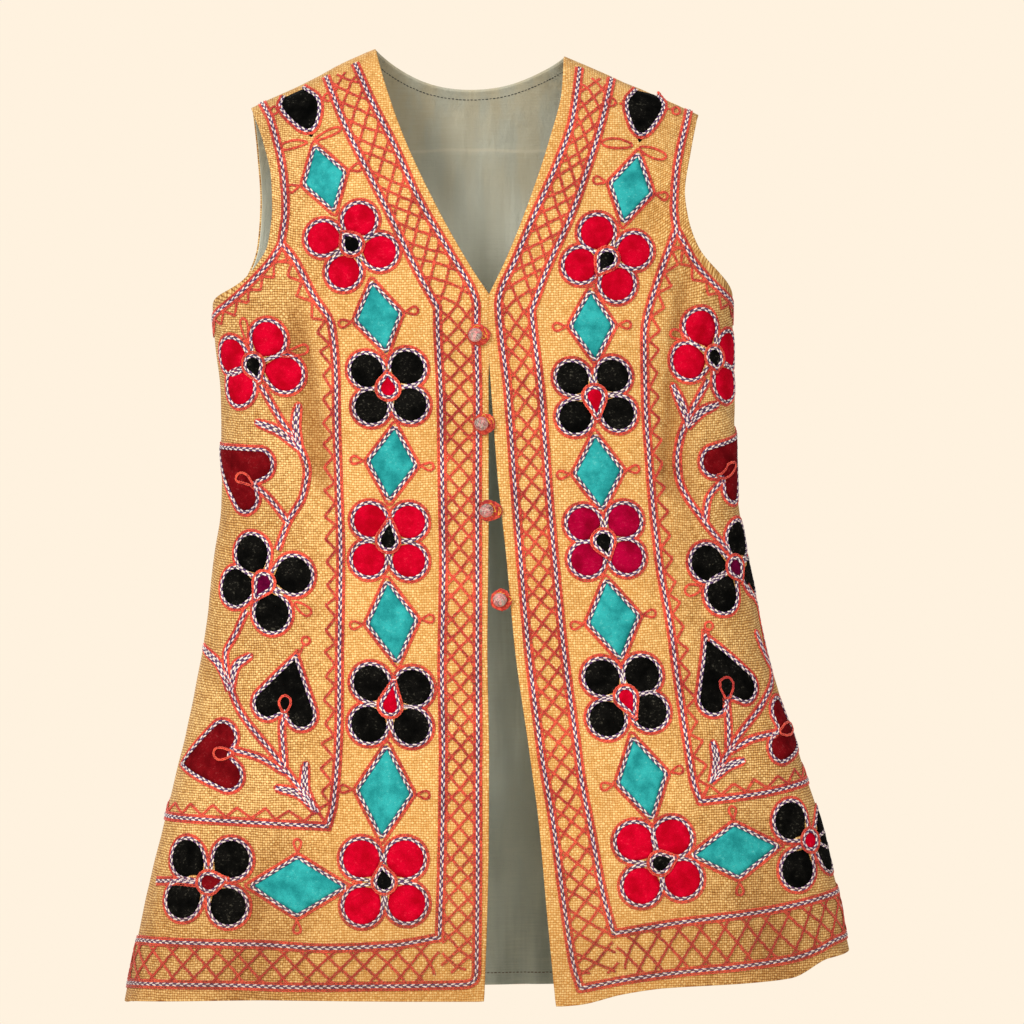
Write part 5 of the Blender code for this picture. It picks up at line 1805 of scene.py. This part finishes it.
def tube(path, radius, sides=6, closed=False):
    """A round tube along a path, its points and faces."""
    path = np.asarray(path, float)
    count = len(path)
    radius = np.broadcast_to(np.asarray(radius, float), (count,))
    if closed:
        ahead = unit(np.roll(path, -1, axis=0) - np.roll(path, 1, axis=0))
    else:
        ahead = unit(np.gradient(path, axis=0))
    across = [unit(np.cross(ahead[0], (0.3, 0.5, 0.8)))]
    for k in range(1, count):
        across.append(unit(across[-1] - ahead[k] * (across[-1] @ ahead[k])))
    across = np.array(across)
    if closed:
        # the turn left over at the end is shared out round the ring
        last = unit(across[-1] - ahead[0] * (across[-1] @ ahead[0]))
        spare = math.atan2(np.cross(last, across[0]) @ ahead[0], last @ across[0])
        twist = np.arange(count) / count * spare
        third = np.cross(ahead, across)
        across = across * np.cos(twist)[:, None] + third * np.sin(twist)[:, None]
    third = np.cross(ahead, across)
    turn = np.linspace(0, 2 * math.pi, sides, endpoint=False)
    ring = across[:, None] * np.cos(turn)[None, :, None] + third[:, None] * np.sin(turn)[None, :, None]
    points = (path[:, None] + ring * radius[:, None, None]).reshape(-1, 3)
    faces = []
    for k in range(count if closed else count - 1):
        m = (k + 1) % count
        for i in range(sides):
            j = (i + 1) % sides
            faces.append((k * sides + i, k * sides + j, m * sides + j, m * sides + i))
    if not closed:
        faces.append(tuple(range(sides))[::-1])
        faces.append(tuple((count - 1) * sides + i for i in range(sides)))
    return points, faces


def gathered(name, parts, materials):
    """One object from several tubes: (points, faces, material number) each."""
    points, faces, slots, start = [], [], [], 0
    for more, shapes, slot in parts:
        points.append(more)
        faces += [tuple(int(i) + start for i in face) for face in shapes]
        slots += [slot] * len(shapes)
        start += len(more)
    made = new_object(name, np.concatenate(points), faces, materials)
    made.data.polygons.foreach_set("material_index", slots)
    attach(made, BODY)
    return made


def wound_ball(number, row):
    """A ball button wound with thread of three colours."""
    ((s, z),) = seen([(row.x, row.z)])
    centre = surface(s, z, BALL_RADIUS + LAYER_GAP)
    randoms = np.random.default_rng(40 + number)
    parts = []
    level = np.linspace(0, math.pi, 13)
    core = BALL_RADIUS - BALL_THREAD
    path = centre + np.stack((0 * level, 0 * level, -np.cos(level) * core), axis=-1)
    path[:, 2] += np.linspace(-0.001, 0.001, len(path))
    parts.append((*tube(path, np.maximum(np.sin(level) * core, 0.05), 16), 2))
    for k in range(BALL_WINDINGS):
        axis = unit(randoms.normal(size=3))
        first = unit(np.cross(axis, (0.2, 0.9, 0.4)))
        second = np.cross(axis, first)
        for lane in (-1, 0, 1):
            off = (lane + randoms.uniform(-0.2, 0.2)) * BALL_THREAD * 1.9
            size = math.sqrt((core + 0.12) ** 2 - off**2)
            turn = np.linspace(0, 2 * math.pi, 26, endpoint=False)
            ring = centre + axis * off + (first * np.cos(turn)[:, None] + second * np.sin(turn)[:, None]) * size
            parts.append((*tube(ring, BALL_THREAD * 0.85, 5, True), (k + (lane == 1)) % 3))
    made = gathered(f"wound_ball_{number}", parts, [PINK_THREAD, GREY_THREAD, MAUVE_THREAD])
    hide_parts(f"button_{number}")


def edge_at(z):
    """Where the edge of the front that carries the loops is seen at a height."""
    edge = sorted(FRONT_EDGE["right"], key=lambda point: point[1])
    return float(smooth(z, [point[1] for point in edge], [point[0] for point in edge]))


def thread_loop(number, row):
    """A button loop of two rounds of twisted cord, with loose yellow threads beside them."""
    x = row.x + row.loop_shift
    reach = max(edge_at(row.z) + LOOP_ON_EDGE - x, LOOP_RING)
    turn = np.linspace(0, 2 * math.pi, LOOP_POINTS, endpoint=False)
    randoms = np.random.default_rng(70 + number)
    parts = []
    for size, lift in ((1.0, 0.0), (row.second, 0.9)):
        if not size:
            continue
        across = np.cos(turn) * np.where(np.cos(turn) > 0, reach * size, LOOP_RING * 0.72)
        place = seen_place(x + across, row.z + LOOP_RING * 0.86 * (0.35 + 0.65 * size) * np.sin(turn))
        path = surface(place[:, 0], place[:, 1], LOOP_THREAD + LAYER_GAP + lift)
        up = normal(place[:, 0], place[:, 1])
        out = unit(np.cross(unit(np.roll(path, -1, axis=0) - np.roll(path, 1, axis=0)), up))
        for strand in range(3):
            phase = turn * STRAND_TWIST + strand * 2 * math.pi / 3
            slack = 1.0 + 0.35 * np.sin(turn * 3 + randoms.uniform(0, 6))[:, None]
            swing = (up * np.cos(phase)[:, None] + out * np.sin(phase)[:, None]) * STRAND * slack
            parts.append((*tube(path + swing, STRAND, 6, True), 2 if strand == 2 else 0))
        for k in range(LOOSE_ENDS):
            start = int(randoms.integers(0, 30)) - 12
            span = np.arange(start, start + int(randoms.integers(8, 15))) % LOOP_POINTS
            bulge = np.sin(np.linspace(0, math.pi, len(span)))
            way = 1 if k % 2 else -1
            loose = path[span] + out[span] * (bulge * randoms.uniform(0.6, 2.4))[:, None] * way
            loose = loose + up[span] * (1.9 + bulge * randoms.uniform(0.2, 0.9))[:, None]
            parts.append((*tube(loose, LOOSE_THREAD, 5), 1 if k < 3 else 0))
    made = gathered(f"thread_loop_{number}", parts, [LATTICE_THREAD, YELLOW_THREAD, RED_THREAD])
    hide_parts(f"loop_{number}")


for number, row in enumerate(BUTTONS, 1):
    wound_ball(number, row)
    thread_loop(number, row)

for side in ("left", "right"):
    sewing[side] + velvets[side]

# Stage, light and camera

FLOOR_Z = CAD_BOX[0][2] - 0.12
FLOOR_RADIUS = 0.98
FLOOR_SIDES = 96
CREAM = (1.0, 0.888, 0.738, 1)
LIGHT_AIM = (0, 0, -0.35)


def floor():
    """A plain pale round floor."""
    turn = np.linspace(0, 2 * math.pi, FLOOR_SIDES, endpoint=False)
    points = np.stack((np.cos(turn) * FLOOR_RADIUS, np.sin(turn) * FLOOR_RADIUS, 0 * turn + FLOOR_Z), axis=-1) / MM
    made = new_object("floor", points, [tuple(range(FLOOR_SIDES))], [cream_paper()])


floor()


def softbox(name, place, size, power):
    """A square soft light, turned to the middle of the garment."""
    light = bpy.data.lights.new(name, "AREA")
    light.shape = "SQUARE"
    light.size = size
    light.energy = power
    made = bpy.data.objects.new(name, light)
    made.location = place
    made.rotation_euler = (Vector(LIGHT_AIM) - Vector(place)).to_track_quat("-Z", "Y").to_euler()
    bpy.context.scene.collection.objects.link(made)


softbox("softbox_key", (-1.7, -3.0, 1.5), 1.0, 110)
softbox("softbox_fill", (0.9, -4.2, -0.1), 1.8, 58)
softbox("softbox_back", (-1.3, 3.4, 0.9), 1.6, 95)
ROOM_LIGHT = 0.60


def room():
    """An even pale room: soft light all round, and plain cream where the camera sees it."""
    world = bpy.data.worlds.new("room")
    world.use_nodes = True
    tree = world.node_tree
    lit = tree.nodes["Background"]
    lit.inputs["Color"].default_value = (1.0, 0.98, 0.95, 1)
    lit.inputs["Strength"].default_value = ROOM_LIGHT
    cream = tree.nodes.new("ShaderNodeBackground")
    cream.inputs["Color"].default_value = CREAM
    rays, share = tree.nodes.new("ShaderNodeLightPath"), tree.nodes.new("ShaderNodeMixShader")
    tree.links.new(rays.outputs["Is Camera Ray"], share.inputs[0])
    tree.links.new(lit.outputs[0], share.inputs[1])
    tree.links.new(cream.outputs[0], share.inputs[2])
    tree.links.new(share.outputs[0], tree.nodes["World Output"].inputs["Surface"])
    bpy.context.scene.world = world


room()
bpy.context.scene.view_settings.view_transform = "Standard"

HALF_FRAME = 0.4096
camera = bpy.data.cameras.new("camera")
camera.sensor_fit = "HORIZONTAL"
camera.angle = 2 * math.atan(HALF_FRAME / (VIEW_DISTANCE * MM))
camera.clip_end = 50
camera_object = bpy.data.objects.new("camera", camera)
camera_object.location = (VIEW_X * MM, (SEEN_PLANE_Y - VIEW_DISTANCE) * MM, VIEW_Z * MM)
camera_object.rotation_euler = (math.radians(90), 0, 0)
bpy.context.scene.collection.objects.link(camera_object)
bpy.context.scene.camera = camera_object
